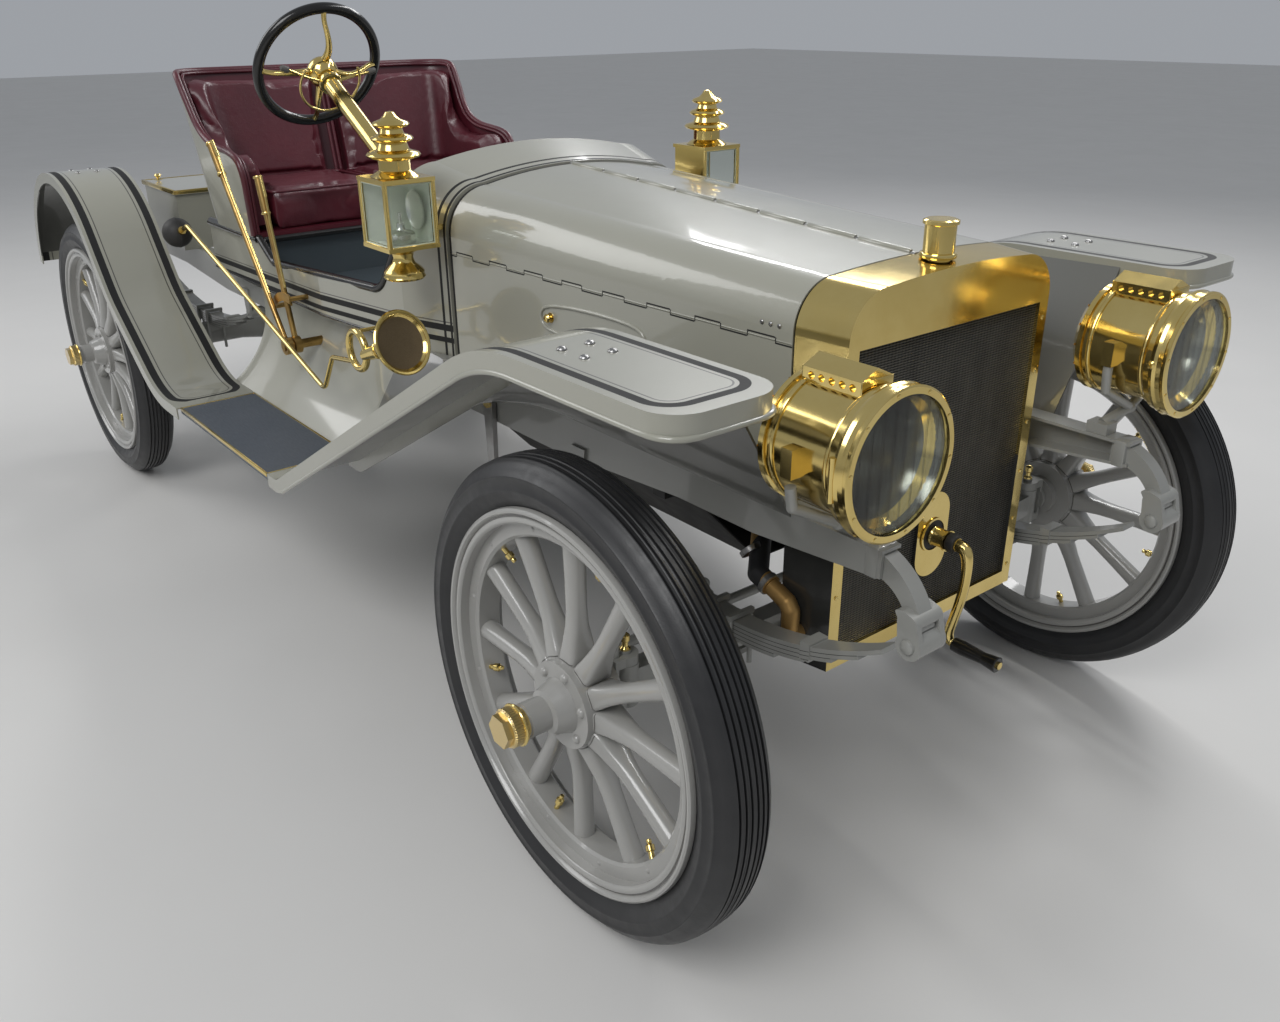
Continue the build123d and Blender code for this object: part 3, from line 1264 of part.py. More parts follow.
def headlamp():
    """Drum with a stepped door ring, hollow to its reflector."""
    back = LAMP_FACE_X - LAMP_DOOR_LEN - LAMP_DRUM_LEN
    door = LAMP_DRUM_LEN
    end = LAMP_DRUM_LEN + LAMP_DOOR_LEN
    outer = [
        (0, 0),
        (LAMP_DRUM_R - 14, 0),
        (LAMP_DRUM_R + 3, 14),
        (LAMP_DRUM_R + 3, 24),
        (LAMP_DRUM_R - 2, 26),
        (LAMP_DRUM_R - 2, door - 6),
        (LAMP_DOOR_R - 12, door - 6),
        (LAMP_DOOR_R - 7, door),
        (LAMP_DOOR_R - 7, door + 10),
        (LAMP_DOOR_R - 2, door + 14),
        (LAMP_DOOR_R, door + 20),
        (LAMP_DOOR_R - 2, door + 26),
        (LAMP_DOOR_R - 3, end - 10),
        (LAMP_DOOR_R, end - 7),
        (LAMP_DOOR_R, end - 2),
        (LAMP_DOOR_R - 3, end),
        (LAMP_GLASS_R - 3, end),
        (LAMP_GLASS_R - 3, end - 5),
        (LAMP_GLASS_R + SEAT_GAP, end - 5),
        (LAMP_GLASS_R + SEAT_GAP, end - 9),
        (LAMP_DRUM_R - 10, door + 6),
        (LAMP_DRUM_R - 30, 60),
        (30, 34),
        (0, 34),
    ]
    lamp = turned(outer, (back, -LAMP_Y, LAMP_Z), (1, 0, 0))
    roof_low, roof_high = LAMP_Z + LAMP_DRUM_R - 14, LAMP_Z + LAMP_DRUM_R + 14
    roof = outline([(-34, roof_low), (34, roof_low), (34, roof_high), (0, roof_high + 16), (-34, roof_high)])
    vent = extrude(Pos(0, -LAMP_Y, 0) * (cross_section(back + 30) * roof), LAMP_DRUM_LEN - 44)
    lamp += vent
    for x in (back + 48, back + 68, back + 88, back + 108, back + 128):
        lamp -= rod((x, -LAMP_Y - 50, roof_high - 11), (x, -LAMP_Y - 26, roof_high - 11), 6)
        lamp -= rod((x, -LAMP_Y + 26, roof_high - 11), (x, -LAMP_Y + 50, roof_high - 11), 6)
    for side in (-1, 1):
        socket_y = -LAMP_Y + side * (LAMP_DRUM_R + 8)
        lamp += block((FORK_X - 11, FORK_X + 11), (socket_y - 12, socket_y + 12), (LAMP_Z - 22, LAMP_Z + 24))
    return lamp


def lamp_fork():
    """Fork that holds a headlamp by its side sockets, on a post from the rail."""
    reach = LAMP_DRUM_R + 8
    seat = LAMP_Z - 22 - SEAT_GAP
    low = LAMP_Z - LAMP_DRUM_R - 26
    fork = None
    for side in (-1, 1):
        y = -LAMP_Y + side * reach
        knee = (FORK_X, -LAMP_Y + side * (reach - 6), LAMP_Z - 74)
        arm = bent_rod([(FORK_X, y, seat), (FORK_X, y, seat - 16), knee, (FORK_X, -LAMP_Y, low)], FORK_R)
        fork = arm if fork is None else fork + arm
    post_top = (FORK_X, -LAMP_Y, low)
    fork += Pos(*post_top) * Sphere(FORK_R + 3)
    fork += rod(post_top, (POST_X, -RAIL_Y, RAIL_TOP + 18), FORK_R + 1)
    fork += block((POST_X - 22, POST_X + 22), (-RAIL_Y - 18, -RAIL_Y + 18),
                  (RAIL_TOP + SEAT_GAP, RAIL_TOP + 22))
    return fork


def build_headlamps():
    """Headlamps, their forks, and every lamp's glass."""
    place("headlamps", *both(headlamp()))
    place("lamp_forks", *both(lamp_fork()))
    end = LAMP_FACE_X
    glass = rod((end - 9, -LAMP_Y, LAMP_Z), (end - 5 - SEAT_GAP, -LAMP_Y, LAMP_Z), LAMP_GLASS_R)
    half = SIDE_LAMP_W / 2
    low, high = SIDE_LAMP_Z + SIDE_LAMP_BODY[0] + 14, SIDE_LAMP_Z + SIDE_LAMP_BODY[1] - 14
    pane = block((SIDE_LAMP_X + half - 5, SIDE_LAMP_X + half - 2),
                 (-SIDE_LAMP_Y - half + 9, -SIDE_LAMP_Y + half - 9), (low, high))
    side_pane = block((SIDE_LAMP_X - half + 9, SIDE_LAMP_X + half - 9),
                      (-SIDE_LAMP_Y - half + 2, -SIDE_LAMP_Y - half + 5), (low, high))
    place("lamp_glass", *both(glass), *both(pane), *both(side_pane))


def build_side_lamps(cowl):
    """Square lantern on a flared foot, with a three-tier chimney."""
    x, y, z = SIDE_LAMP_X, -SIDE_LAMP_Y, SIDE_LAMP_Z
    half = SIDE_LAMP_W / 2
    low, high = SIDE_LAMP_BODY
    foot = turned(
        [(0, 0), (44, 0), (48, 5), (45, 11), (46, 17), (40, 24), (26, 36), (22, 48), (25, 58), (38, 66),
         (44, low + 2), (0, low + 2)],
        (x, y, z), (0, 0, 1))
    body = block((x - half, x + half), (y - half, y + half), (z + low, z + high))
    for rim_z in (low, high - 9):
        out = half + SIDE_LAMP_RIM
        body += block((x - out, x + out), (y - out, y + out), (z + rim_z, z + rim_z + 9))
    body -= block((x - half + 6, x + half - 6), (y - half + 6, y + half - 6), (z + low + 8, z + high - 8))
    window = (z + low + 14, z + high - 14)
    body -= block((x + half - 10, x + half + 1), (y - half + 9, y + half - 9), window)
    body -= block((x - half + 9, x + half - 9), (y - half - 1, y - half + 10), window)
    chimney = turned(
        [
            (0, 0), (54, 0), (46, 8), (35, 14), (35, 36), (56, 42), (60, 47), (56, 52), (36, 58), (31, 72),
            (44, 77), (47, 81), (43, 86), (27, 92), (24, 102), (38, 107), (41, 111), (37, 116), (22, 121),
            (14, 128), (9, 136), (0, 138),
        ],
        (x, y, z + high - 1), (0, 0, 1))
    arm = block((x - 12, x + 12), (y + half - 1, -COWL_HALF[0]), (z + 100, z + 112)) - cowl
    place("side_lamps", *both(foot + body + chimney + arm))


# Crank, levers and horn

def build_crank():
    """Starting crank at rest with its throw down: shaft, arm and turning grip."""
    start = CORE_X[0] - 60
    shaft = rod((start, 0, CRANK_Z), (CRANK_ARM_X, 0, CRANK_Z), CRANK_SHAFT_R)
    low = CRANK_Z - CRANK_THROW
    arm = rod((CRANK_ARM_X, 0, CRANK_Z), (CRANK_ARM_X + 6, 0, low), 9)
    arm += Pos(CRANK_ARM_X, 0, CRANK_Z) * Sphere(16)
    arm += rod((CRANK_ARM_X - 8, 0, low), (CRANK_ARM_X + CRANK_GRIP_LEN + 14, 0, low), PIN_R)
    arm += Pos(CRANK_ARM_X + 6, 0, low) * Sphere(13)
    place("crank_arm", shaft + arm)
    grip = turned(
        [(PIN_R + 0.05, 0), (CRANK_GRIP_R, 0), (CRANK_GRIP_R + 1, 20),
         (CRANK_GRIP_R - 2, CRANK_GRIP_LEN * 0.6), (CRANK_GRIP_R + 2, CRANK_GRIP_LEN - 14),
         (CRANK_GRIP_R, CRANK_GRIP_LEN - 12), (PIN_R + 0.05, CRANK_GRIP_LEN - 12)],
        (CRANK_ARM_X + 20, 0, low), (1, 0, 0))
    place("crank_grip", grip)


def build_levers():
    """Brake and gear levers on one cross shaft, with their notched quadrant."""
    px, pz = LEVER_PIVOT
    near = RAIL_Y + RAIL_W / 2 + SEAT_GAP
    piece = rod((px, -near, pz), (px, -LEVER_Y - 14, pz), LEVER_SHAFT_R)
    piece += rod((px, -near, pz), (px, -near - 8, pz), 30)
    for (tip_x, tip_z), y in ((BRAKE_TIP, LEVER_Y), (GEAR_TIP, LEVER_Y - GEAR_INSET)):
        reach = hypot(tip_x - px, tip_z - pz)
        ux, uz = (tip_x - px) / reach, (tip_z - pz) / reach
        grip = (px + ux * (reach - LEVER_GRIP[1]), -y, pz + uz * (reach - LEVER_GRIP[1]))
        piece += rod((px, -y, pz), grip, LEVER_R)
        piece += rod(grip, (tip_x, -y, tip_z), LEVER_GRIP[0])
        piece += rod((px, -y + 10, pz), (px, -y - 10, pz), LEVER_BOSS_R)
    inner, outer = RATCHET_R
    first, last = RATCHET_ANGLES
    bow = make_face(
        [
            CenterArc(LEVER_PIVOT, outer, first, last - first),
            CenterArc(LEVER_PIVOT, inner, first, last - first),
            Line(arc_point(px, pz, outer, first), arc_point(px, pz, inner, first)),
            Line(arc_point(px, pz, outer, last), arc_point(px, pz, inner, last)),
        ]
    )
    plate = slab(bow, LEVER_Y - 15, LEVER_Y - 11)
    for angle in (first + 2, last - 2):
        tip = arc_point(px, pz, (inner + outer) / 2, angle)
        plate += rod((tip[0], -LEVER_Y + 15, tip[1]), (tip[0], -BODY_HALF - SEAT_GAP, tip[1]), RATCHET_POST_R)
    place("hand_levers", piece, plate)


def arc_point(x, z, radius, angle):
    """Point at an angle on a circle about (x, z)."""
    return (x + radius * cos(radians(angle)), z + radius * sin(radians(angle)))


def build_horn(cowl):
    """Bulb horn on the right: rubber bulb, long tube, S bend, coil and a flared bell."""
    y = -HORN_Y
    bx, bz = BULB
    cx, cz = HORN_COIL
    run = [(bx + BULB_R - 4, bz + 10), (bx + BULB_R + 60, bz + 36)] + HORN_BEND
    tube = tube_run(Plane.XZ.offset(HORN_Y), run, [30, 30, 24], HORN_TUBE_R)
    coil = Pos(cx, y, cz) * Rot(90, 0, 0) * Torus(HORN_COIL_R, HORN_COIL_TUBE_R)
    bell = turned(
        [(0, 0), (14, 0), (20, 70), (34, 116), (66, 152), (72, 158), (66, 160), (30, 124), (0, 118)],
        (HORN_MOUTH[0], y, HORN_MOUTH[1]), (0.92, 0.18, 0.36))
    tube += coil
    top = cz + HORN_COIL_R
    stay = rod((cx, y + 3, top), (cx, -HORN_STAY_END, top), HORN_STAY_R) - cowl
    ferrule = turned([(0, 0), (12, 0), (12, 16), (0, 16)], (bx + BULB_R - 6, y, bz + 9), (1, 0, 0.4))
    horn = tube + bell + stay + ferrule
    place("horn", horn)
    bulb = Pos(bx, y, bz) * Sphere(BULB_R)
    place("horn_bulb", bulb - horn)


def main():
    """Writes every node's STEP file."""
    os.makedirs("parts", exist_ok=True)
    build_wheels()
    rail = build_frame()
    build_springs(rail)
    build_front_axle()
    build_steering()
    build_column()
    build_steering_wheel()
    build_rear_axle()
    engine = build_engine()
    build_pan(rail)
    build_exhaust()
    shell = build_radiator()
    build_hose(engine, shell)
    build_hood()
    cowl = build_cowl()
    build_body()
    build_seat()
    build_rear_box()
    build_fenders()
    build_boards()
    build_aprons()
    build_irons(rail)
    build_headlamps()
    build_side_lamps(cowl)
    build_crank()
    build_levers()
    build_horn(cowl)


main()
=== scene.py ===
"""Looks of the brass era runabout: materials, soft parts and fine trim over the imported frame.

Lengths in the tables are millimetres from the front axle line, as in the part's source, with X forward,
Y to the left and Z up; at() turns a point into metres from the middle of the car.
"""
import math

import bmesh
import bpy
from mathutils import Matrix, Vector
from mathutils.bvhtree import BVHTree


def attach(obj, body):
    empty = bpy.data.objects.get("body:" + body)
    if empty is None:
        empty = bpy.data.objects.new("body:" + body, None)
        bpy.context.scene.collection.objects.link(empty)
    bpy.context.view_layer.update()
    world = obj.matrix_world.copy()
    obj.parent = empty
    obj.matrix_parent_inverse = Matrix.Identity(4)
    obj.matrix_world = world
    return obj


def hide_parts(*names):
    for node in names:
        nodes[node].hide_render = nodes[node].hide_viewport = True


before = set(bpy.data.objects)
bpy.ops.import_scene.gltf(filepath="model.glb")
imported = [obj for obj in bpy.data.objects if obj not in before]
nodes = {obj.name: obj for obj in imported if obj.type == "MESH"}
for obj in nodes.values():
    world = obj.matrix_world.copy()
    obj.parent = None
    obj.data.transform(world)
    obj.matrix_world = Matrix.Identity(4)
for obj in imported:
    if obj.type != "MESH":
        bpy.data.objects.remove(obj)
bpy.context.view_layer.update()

RIGHT_LEFT = (("right", -1), ("left", 1))
AXLE = 1435.0
WHEELBASE = 2812.0
WHEEL_Y, WHEEL_Z = 711.0, 438.0
RAIL_Y = 362.0
LAMP = (420.0, 426.0, 927.0)
LAMP_BACK = 218.0
DOOR_R, DRUM_R, GLASS_R = 120.0, 103.0, 110.0
SIDE_LAMP = (-1005.0, 464.0, 961.0)
CRANK_Z = 600.0
HORN_Y = 545.0
BODY_HALF = 445.0
SPRING_EYE = (438.0, 622.0)
HOOD_HINGE_Z = 1008.0
BOARD_EDGE_Z = 474.5
FENDER_EDGE_Y, FENDER_TOP = 773.0, 1013.5
FENDER_RIVET_Z = 1047.5
CUSHION_TOP = 1034.0
TILT = math.radians(30.5)
STEER_HUB = Vector((-1728.0, -300.0, 1388.0))
COLUMN_AXIS = (-math.cos(TILT), 0, math.sin(TILT))

GREY = (0.325, 0.320, 0.266)
GREY_DEEP = (0.288, 0.284, 0.236)
# chassis grey darkened below the body's grey as painted shade for the frame, axles and springs under the car
CHASSIS_GREY_SHADED = ((0.30, 0.30, 0.278), (0.25, 0.25, 0.233))
BLACK = (0.004, 0.004, 0.004)
PIN = (0.05, 0.045, 0.04)
SLATE = (0.055, 0.07, 0.08)


def at(x, y, z):
    return Vector(((x + AXLE) / 1000, y / 1000, z / 1000))


# Nodes and their maths

def operator(operation, swapped=False):
    """Method that adds a Math node; swapped puts the other value first, as in 1 - mask."""

    def run(self, *others):
        values = (*others, self) if swapped else (self, *others)
        return Field.math(operation, *values)

    return run


class Field:
    """A node's output with operators, so that masks read like formulas; field[name] is another output."""

    tree = None
    __add__ = __radd__ = operator("ADD")
    __sub__, __rsub__ = operator("SUBTRACT"), operator("SUBTRACT", swapped=True)
    __mul__ = __rmul__ = operator("MULTIPLY")
    __truediv__ = operator("DIVIDE")
    __abs__ = operator("ABSOLUTE")
    __gt__, __lt__ = operator("GREATER_THAN"), operator("LESS_THAN")
    max, min = operator("MAXIMUM"), operator("MINIMUM")
    sine = operator("SINE")
    modulo = operator("FLOORED_MODULO")

    def __init__(self, socket):
        self.socket = socket

    def __getitem__(self, name):
        return Field(self.socket.node.outputs[name])

    @staticmethod
    def plug(socket, value):
        """Link of a field to a socket, or a plain value set on it."""
        if isinstance(value, Field):
            Field.tree.links.new(value.socket, socket)
        else:
            socket.default_value = value

    @staticmethod
    def node(kind, settings=None, sockets=None):
        """First output of a new node: its settings are set first, then its sockets get values or links."""
        made = Field.tree.nodes.new(kind)
        for name, value in (settings or {}).items():
            setattr(made, name, value)
        for name, value in (sockets or {}).items():
            Field.plug(made.inputs[name], value)
        return Field(made.outputs[0]) if made.outputs else None

    @staticmethod
    def math(operation, *values):
        return Field.node("ShaderNodeMath", {"operation": operation}, dict(enumerate(values)))


def length(a, b):
    return Field.math("SQRT", a * a + b * b)


def parts_of(vector):
    split = Field.node("ShaderNodeSeparateXYZ", sockets={0: vector})
    return split["X"], split["Y"], split["Z"]


def object_place():
    return Field.node("ShaderNodeTexCoord")["Object"]


def place_of():
    """x, y, z of the surface point in millimetres from the front axle line."""
    x, y, z = (part * 1000.0 for part in parts_of(object_place()))
    return x - AXLE, y, z


def facing():
    """Components of the surface's direction."""
    return parts_of(Field.node("ShaderNodeNewGeometry")["Normal"])


def noise(scale, detail=3.0, rough=0.5, stretch=(1, 1, 1)):
    """Soft noise over the car; a larger stretch packs it along that axis."""
    mapped = Field.node("ShaderNodeMapping", sockets={"Vector": object_place(), "Scale": stretch})
    return Field.node("ShaderNodeTexNoise", sockets={
        "Vector": mapped, "Scale": scale, "Detail": detail, "Roughness": rough})["Fac"]


def cells(scale):
    """Distance to the nearest of many scattered points, for the grain of hide and gauze."""
    return Field.node("ShaderNodeTexVoronoi", sockets={"Vector": object_place(), "Scale": scale})["Distance"]


def mix(share, first, second):
    """Colour between two others, each an RGB tuple or a field.

    A Mix node keeps the sockets of its colours at 6 and 7, and their result at 2.
    """
    first, second = ((*colour, 1) if isinstance(colour, tuple) else colour for colour in (first, second))
    return Field.node("ShaderNodeMix", {"data_type": "RGBA", "clamp_factor": True},
                      {0: share, 6: first, 7: second})[2]


def fill(shader, values):
    """Values or links of the shader's own sockets."""
    for name, value in values.items():
        Field.plug(shader.inputs[name], value)


def cover(shader, mask, colour):
    """Another colour over the present one where the mask is 1."""
    present = Field(shader.inputs["Base Color"].links[0].from_socket)
    fill(shader, {"Base Color": mix(mask, present, colour)})


def bump(shader, height, distance, strength=0.5):
    fill(shader, {"Normal": Field.node("ShaderNodeBump", sockets={
        "Strength": strength, "Distance": distance, "Height": height})})


def rounded_box(u, v, centre, half, radius):
    """Signed distance to a rounded rectangle."""
    du = abs(u - centre[0]) - (half[0] - radius)
    dv = abs(v - centre[1]) - (half[1] - radius)
    outside = length(du.max(0.0), dv.max(0.0))
    return outside + du.max(dv).min(0.0) - radius


def band(distance, offset, half_width):
    """1 where a signed distance lies within half_width of offset."""
    return abs(distance - offset) < half_width


# Paint

def enamel(lines=None, first=GREY, second=GREY_DEEP, coat=0.9, rough=0.32):
    """Varnished enamel with slight depth of colour; lines() gives the masks of bands and of pinstripes."""

    def paint(shader):
        tone = mix(noise(2.2, 4.0) * 1.4 - 0.2, first, second)
        varnish, sheen = coat, noise(9.0, 5.0) * 0.16 + (rough - 0.08)
        if lines:
            thick, thin = lines()
            tone = mix(thick, mix(thin * 0.9, tone, PIN), BLACK)
            varnish, sheen = coat - thick * coat, sheen + thick * 0.35
        fill(shader, {"Base Color": tone, "Roughness": sheen, "Coat Weight": varnish, "Coat Roughness": 0.06})
        bump(shader, noise(160.0, 2.0), 0.0004, 0.12)

    return paint


def shaded_fender_enamel(lines):
    """Enamel above, with painted shade on the faces that look down."""

    def paint(shader):
        enamel(lines)(shader)
        # painted shade: dark grey on the fender's faces that look down, for the shade under it
        cover(shader, facing()[2] < -0.25, (0.075, 0.075, 0.066))

    return paint


def front_fender_lines():
    x, y, _ = place_of()
    top = facing()[2] > 0.35
    edge = rounded_box(x, abs(y), (-438.0, 665.0), (716.0, 86.0), 46.0)
    return band(edge, 0.0, 8.5) * top, band(edge, -17.0, 1.6) * top


def rear_fender_lines():
    x, y, _ = place_of()
    top = (abs(facing()[1]) < 0.5) * (x < -1930.0)
    curl = rounded_box(x, abs(y), (-3930.0, 671.5), (2000.0, 95.0), 60.0)
    return band(curl, 0.0, 11.0) * top, band(curl, -22.0, 1.7) * top


def body_lines():
    """Two bands and a pinstripe along the side, and two narrow bands at the cowl's front edge."""
    x, _, z = place_of()
    side = abs(facing()[1]) > 0.6
    belt = z - (851.0 + x * 0.0257)
    thick = band(belt, 0.0, 8.0).max(band(belt, -30.0, 6.5))
    front = band(x, -991.0, 3.5).max(band(x, -1013.0, 4.0))
    return (thick * side).max(front * (z > 700.0)), band(belt, 14.0, 1.5) * side


def hood_lines():
    """Stepped hinge joint between the hood's top and side, and the dark band at its rear."""
    x, _, z = place_of()
    side = abs(facing()[1]) > 0.5
    step = ((x + 3000.0).modulo(132.0) > 66.0) * 10.0 - 5.0
    seam = band(z - step, HOOD_HINGE_Z, 1.5)
    riser = band((x + 3000.0).modulo(66.0), 1.3, 1.3) * band(z, HOOD_HINGE_Z, 5.0)
    return (seam.max(riser) * side).max(x < -972.0), side * 0.0


def leaf_lines(centre_x, top_z, half, sag):
    """Dark joints between a spring's leaves, which are arcs about one centre."""

    def lines():
        x, _, z = place_of()
        radius = (half * half + sag * sag) / (2 * sag)
        reach = length(x - centre_x, z - (top_z + radius)) - radius
        joint = (reach.modulo(8.0) < 1.1) * (reach > 4.0)
        return joint * (abs(facing()[1]) > 0.5), joint * 0.0

    return lines


def wheel_enamel(shader):
    """Grey enamel with dark ring lines, and a bright knurled cap on the hub's end."""
    x, y, z = place_of()
    along, up = x + WHEELBASE - (x > -WHEELBASE / 2) * WHEELBASE, z - WHEEL_Z
    reach, turn = length(along, up), Field.math("ARCTAN2", up, along)
    rings = band(reach, 339.7, 1.6).max(band(reach, 84.0, 1.2)) * (abs(facing()[1]) > 0.5)
    enamel(lambda: (rings * 0.0, rings), (0.34, 0.335, 0.315), (0.29, 0.285, 0.27), 0.8)(shader)
    cap = (reach < 37.0) * (abs(y) - WHEEL_Y > 118.0)
    cover(shader, cap, (0.80, 0.60, 0.24))
    fill(shader, {"Metallic": cap})
    bump(shader, (turn * 44.0).sine() * cap * (reach > 33.0), 0.002, 0.8)


def tub_enamel(shader):
    """Body enamel outside, slate inside the cockpit, black on the edges that face up."""
    enamel(body_lines)(shader)
    x, y, z = place_of()
    taper = (x + 1150.0) * -0.105 + 387.0
    cover(shader, (abs(y) < taper.min(428.5)) * (z > 760.0), SLATE)
    cover(shader, (facing()[2] > 0.5) * (z > 800.0), BLACK)


def seat_shell_enamel(shader):
    """Enamel outside, hide on the shell's inner faces, parted along the middle of its wall."""
    enamel()(shader)
    x, y, z = place_of()
    plan = rounded_box(x + z * 0.1937, abs(y) - z * 0.0766, (-1209.0, 0.0), (1000.0, 374.0), 124.0)
    inner = plan < 0.0
    cover(shader, inner, (0.085, 0.012, 0.020))
    fill(shader, {"Coat Weight": 0.9 - inner * 0.65})


def shaded_apron_enamel(shader):
    """Enamel beside the running board, with painted shade on the apron under the front fender."""
    enamel()(shader)
    x, y, _ = place_of()
    # painted shade: dark grey on the apron forward of the board, where the front fender shades it
    cover(shader, (x > -1190.0) * (abs(y) > 366.0), (0.115, 0.115, 0.102))


# Metal, rubber, hide and glass

def plain(first, second, tint, gloss, relief=None, metal=0.0, others=None):
    """Painter of a finish without marks.

    tint is the scale and detail of the noise between two colours, gloss that of the roughness with its
    range and base, relief that of the bump with its distance and strength.
    """

    def paint(shader):
        scale, detail, reach, base = gloss
        fill(shader, {"Base Color": mix(noise(*tint), first, second), "Metallic": metal,
                      "Roughness": noise(scale, detail) * reach + base, **(others or {})})
        if relief:
            bump(shader, noise(*relief[:2]), *relief[2:])

    return paint


def brass(shader):
    fill(shader, {
        "Base Color": mix(noise(7.0, 6.0, 0.62) * 1.5 - 0.25, (0.88, 0.70, 0.29), (0.68, 0.50, 0.16)),
        "Metallic": 1.0, "Roughness": noise(14.0, 5.0, 0.6) * 0.16 + 0.06})
    bump(shader, noise(40.0, 3.0), 0.001, 0.10)


def aged_brass(shader):
    brass(shader)
    fill(shader, {"Base Color": mix(noise(18.0, 5.0) * 1.8 - 0.4, (0.60, 0.40, 0.14), (0.26, 0.16, 0.06)),
                  "Roughness": noise(24.0, 4.0) * 0.3 + 0.18})


def side_lamp_brass(shader):
    """Brass outside, silvered inside the side lamps' bodies, pale on their panes."""
    brass(shader)
    x, y, z = place_of()
    nx, ny, _ = facing()
    along, across = abs(x - SIDE_LAMP[0]), abs(abs(y) - SIDE_LAMP[1])
    low, high = SIDE_LAMP[2] + 79.0, SIDE_LAMP[2] + 221.0
    inside = (along < 54.5) * (across < 54.5) * (z > low) * (z < high)
    front, outer = (nx > 0.5) * (across < 55.5), (ny * y > 232.0) * (along < 55.5)
    pane = front.max(outer) * (z > low + 4.0) * (z < high - 4.0)
    cover(shader, pane, (0.52, 0.57, 0.47))
    cover(shader, inside, (0.86, 0.90, 0.80))
    fill(shader, {"Metallic": 1.0 - pane.max(inside)})


def radiator_brass(shader):
    """Polished, with painted shade on the shell's side faces below 700 mm."""
    brass(shader)
    # painted shade: near black on the shell's side faces below 700 mm, for the dark behind the frame's front
    painted = (place_of()[2] < 700.0) * (abs(facing()[1]) > 0.6)
    cover(shader, painted, (0.03, 0.03, 0.028))
    fill(shader, {"Metallic": 1.0 - painted})


def radiator_face(shader):
    """Fine tube and fin pattern of the core."""
    _, y, z = place_of()
    fins, tubes = (z * (2 * math.pi / 4.8)).sine(), (y * (2 * math.pi / 9.0)).sine()
    pattern = fins * 0.7 + tubes * 0.2 + noise(26.0, 4.0, 0.6, (1, 1, 0.3)) * 0.9
    fill(shader, {"Base Color": mix(pattern * 0.5 + 0.1, (0.008, 0.008, 0.008), (0.17, 0.16, 0.13)),
                  "Metallic": 0.6, "Roughness": noise(30.0) * 0.2 + 0.42})
    bump(shader, pattern, 0.003, 0.8)


def hose_and_elbows(shader):
    """Rubber hose between two bronze elbows."""
    x = place_of()[0]
    bronze = (x > 54.0).max(x < -22.0)
    fill(shader, {"Base Color": mix(bronze, (0.016, 0.016, 0.017), (0.46, 0.28, 0.10)),
                  "Metallic": bronze * 0.85, "Roughness": noise(22.0, 4.0) * 0.3 + 0.34})
    bump(shader, noise(90.0, 4.0), 0.001, 0.3)


def leather(shader):
    """Smooth hide with fine creases and a soft sheen."""
    fill(shader, {
        "Base Color": mix(noise(5.0, 5.0, 0.6) * 1.6 - 0.3, (0.115, 0.016, 0.026), (0.058, 0.008, 0.014)),
        "Roughness": noise(30.0, 4.0) * 0.22 + 0.26, "Coat Weight": 0.25, "Coat Roughness": 0.22})
    bump(shader, cells(420.0) * 0.5 + noise(60.0, 5.0) * 1.2 + noise(9.0, 3.0) * 2.0, 0.0012, 0.5)


def linoleum(shader):
    fill(shader, {"Base Color": mix(noise(6.0, 6.0, 0.6), (0.050, 0.062, 0.082), (0.085, 0.098, 0.118)),
                  "Roughness": noise(40.0, 4.0, 0.6, (1, 6, 1)) * 0.3 + 0.30})
    bump(shader, noise(240.0, 3.0), 0.0005, 0.25)


def horn_gauze(shader):
    fill(shader, {"Base Color": mix(cells(900.0) * 2.0, (0.05, 0.035, 0.02), (0.20, 0.15, 0.09)),
                  "Metallic": 0.7, "Roughness": noise(50.0) * 0.2 + 0.4})
    bump(shader, cells(900.0), 0.001, 0.8)


def lamp_glass(shader):
    """Clear glass; the headlamps' fronts have thin upright joints between their strips."""
    x, y, _ = place_of()
    joint = band((abs(y) - LAMP[1] + 2013.0).modulo(24.0), 12.0, 0.6) * (x > 300.0)
    fill(shader, {"Base Color": mix(joint, (0.92, 0.95, 0.92), (0.20, 0.21, 0.20)),
                  "Roughness": noise(20.0) * 0.02 + 0.01, "Transmission Weight": 1.0, "IOR": 1.3})
    bump(shader, joint, 0.002, 0.8)


def material(name, paint):
    """New material; paint(shader) fills in its node tree."""
    made = bpy.data.materials.new(name)
    made.use_nodes = True
    Field.tree = made.node_tree
    paint(made.node_tree.nodes["Principled BSDF"])
    return made


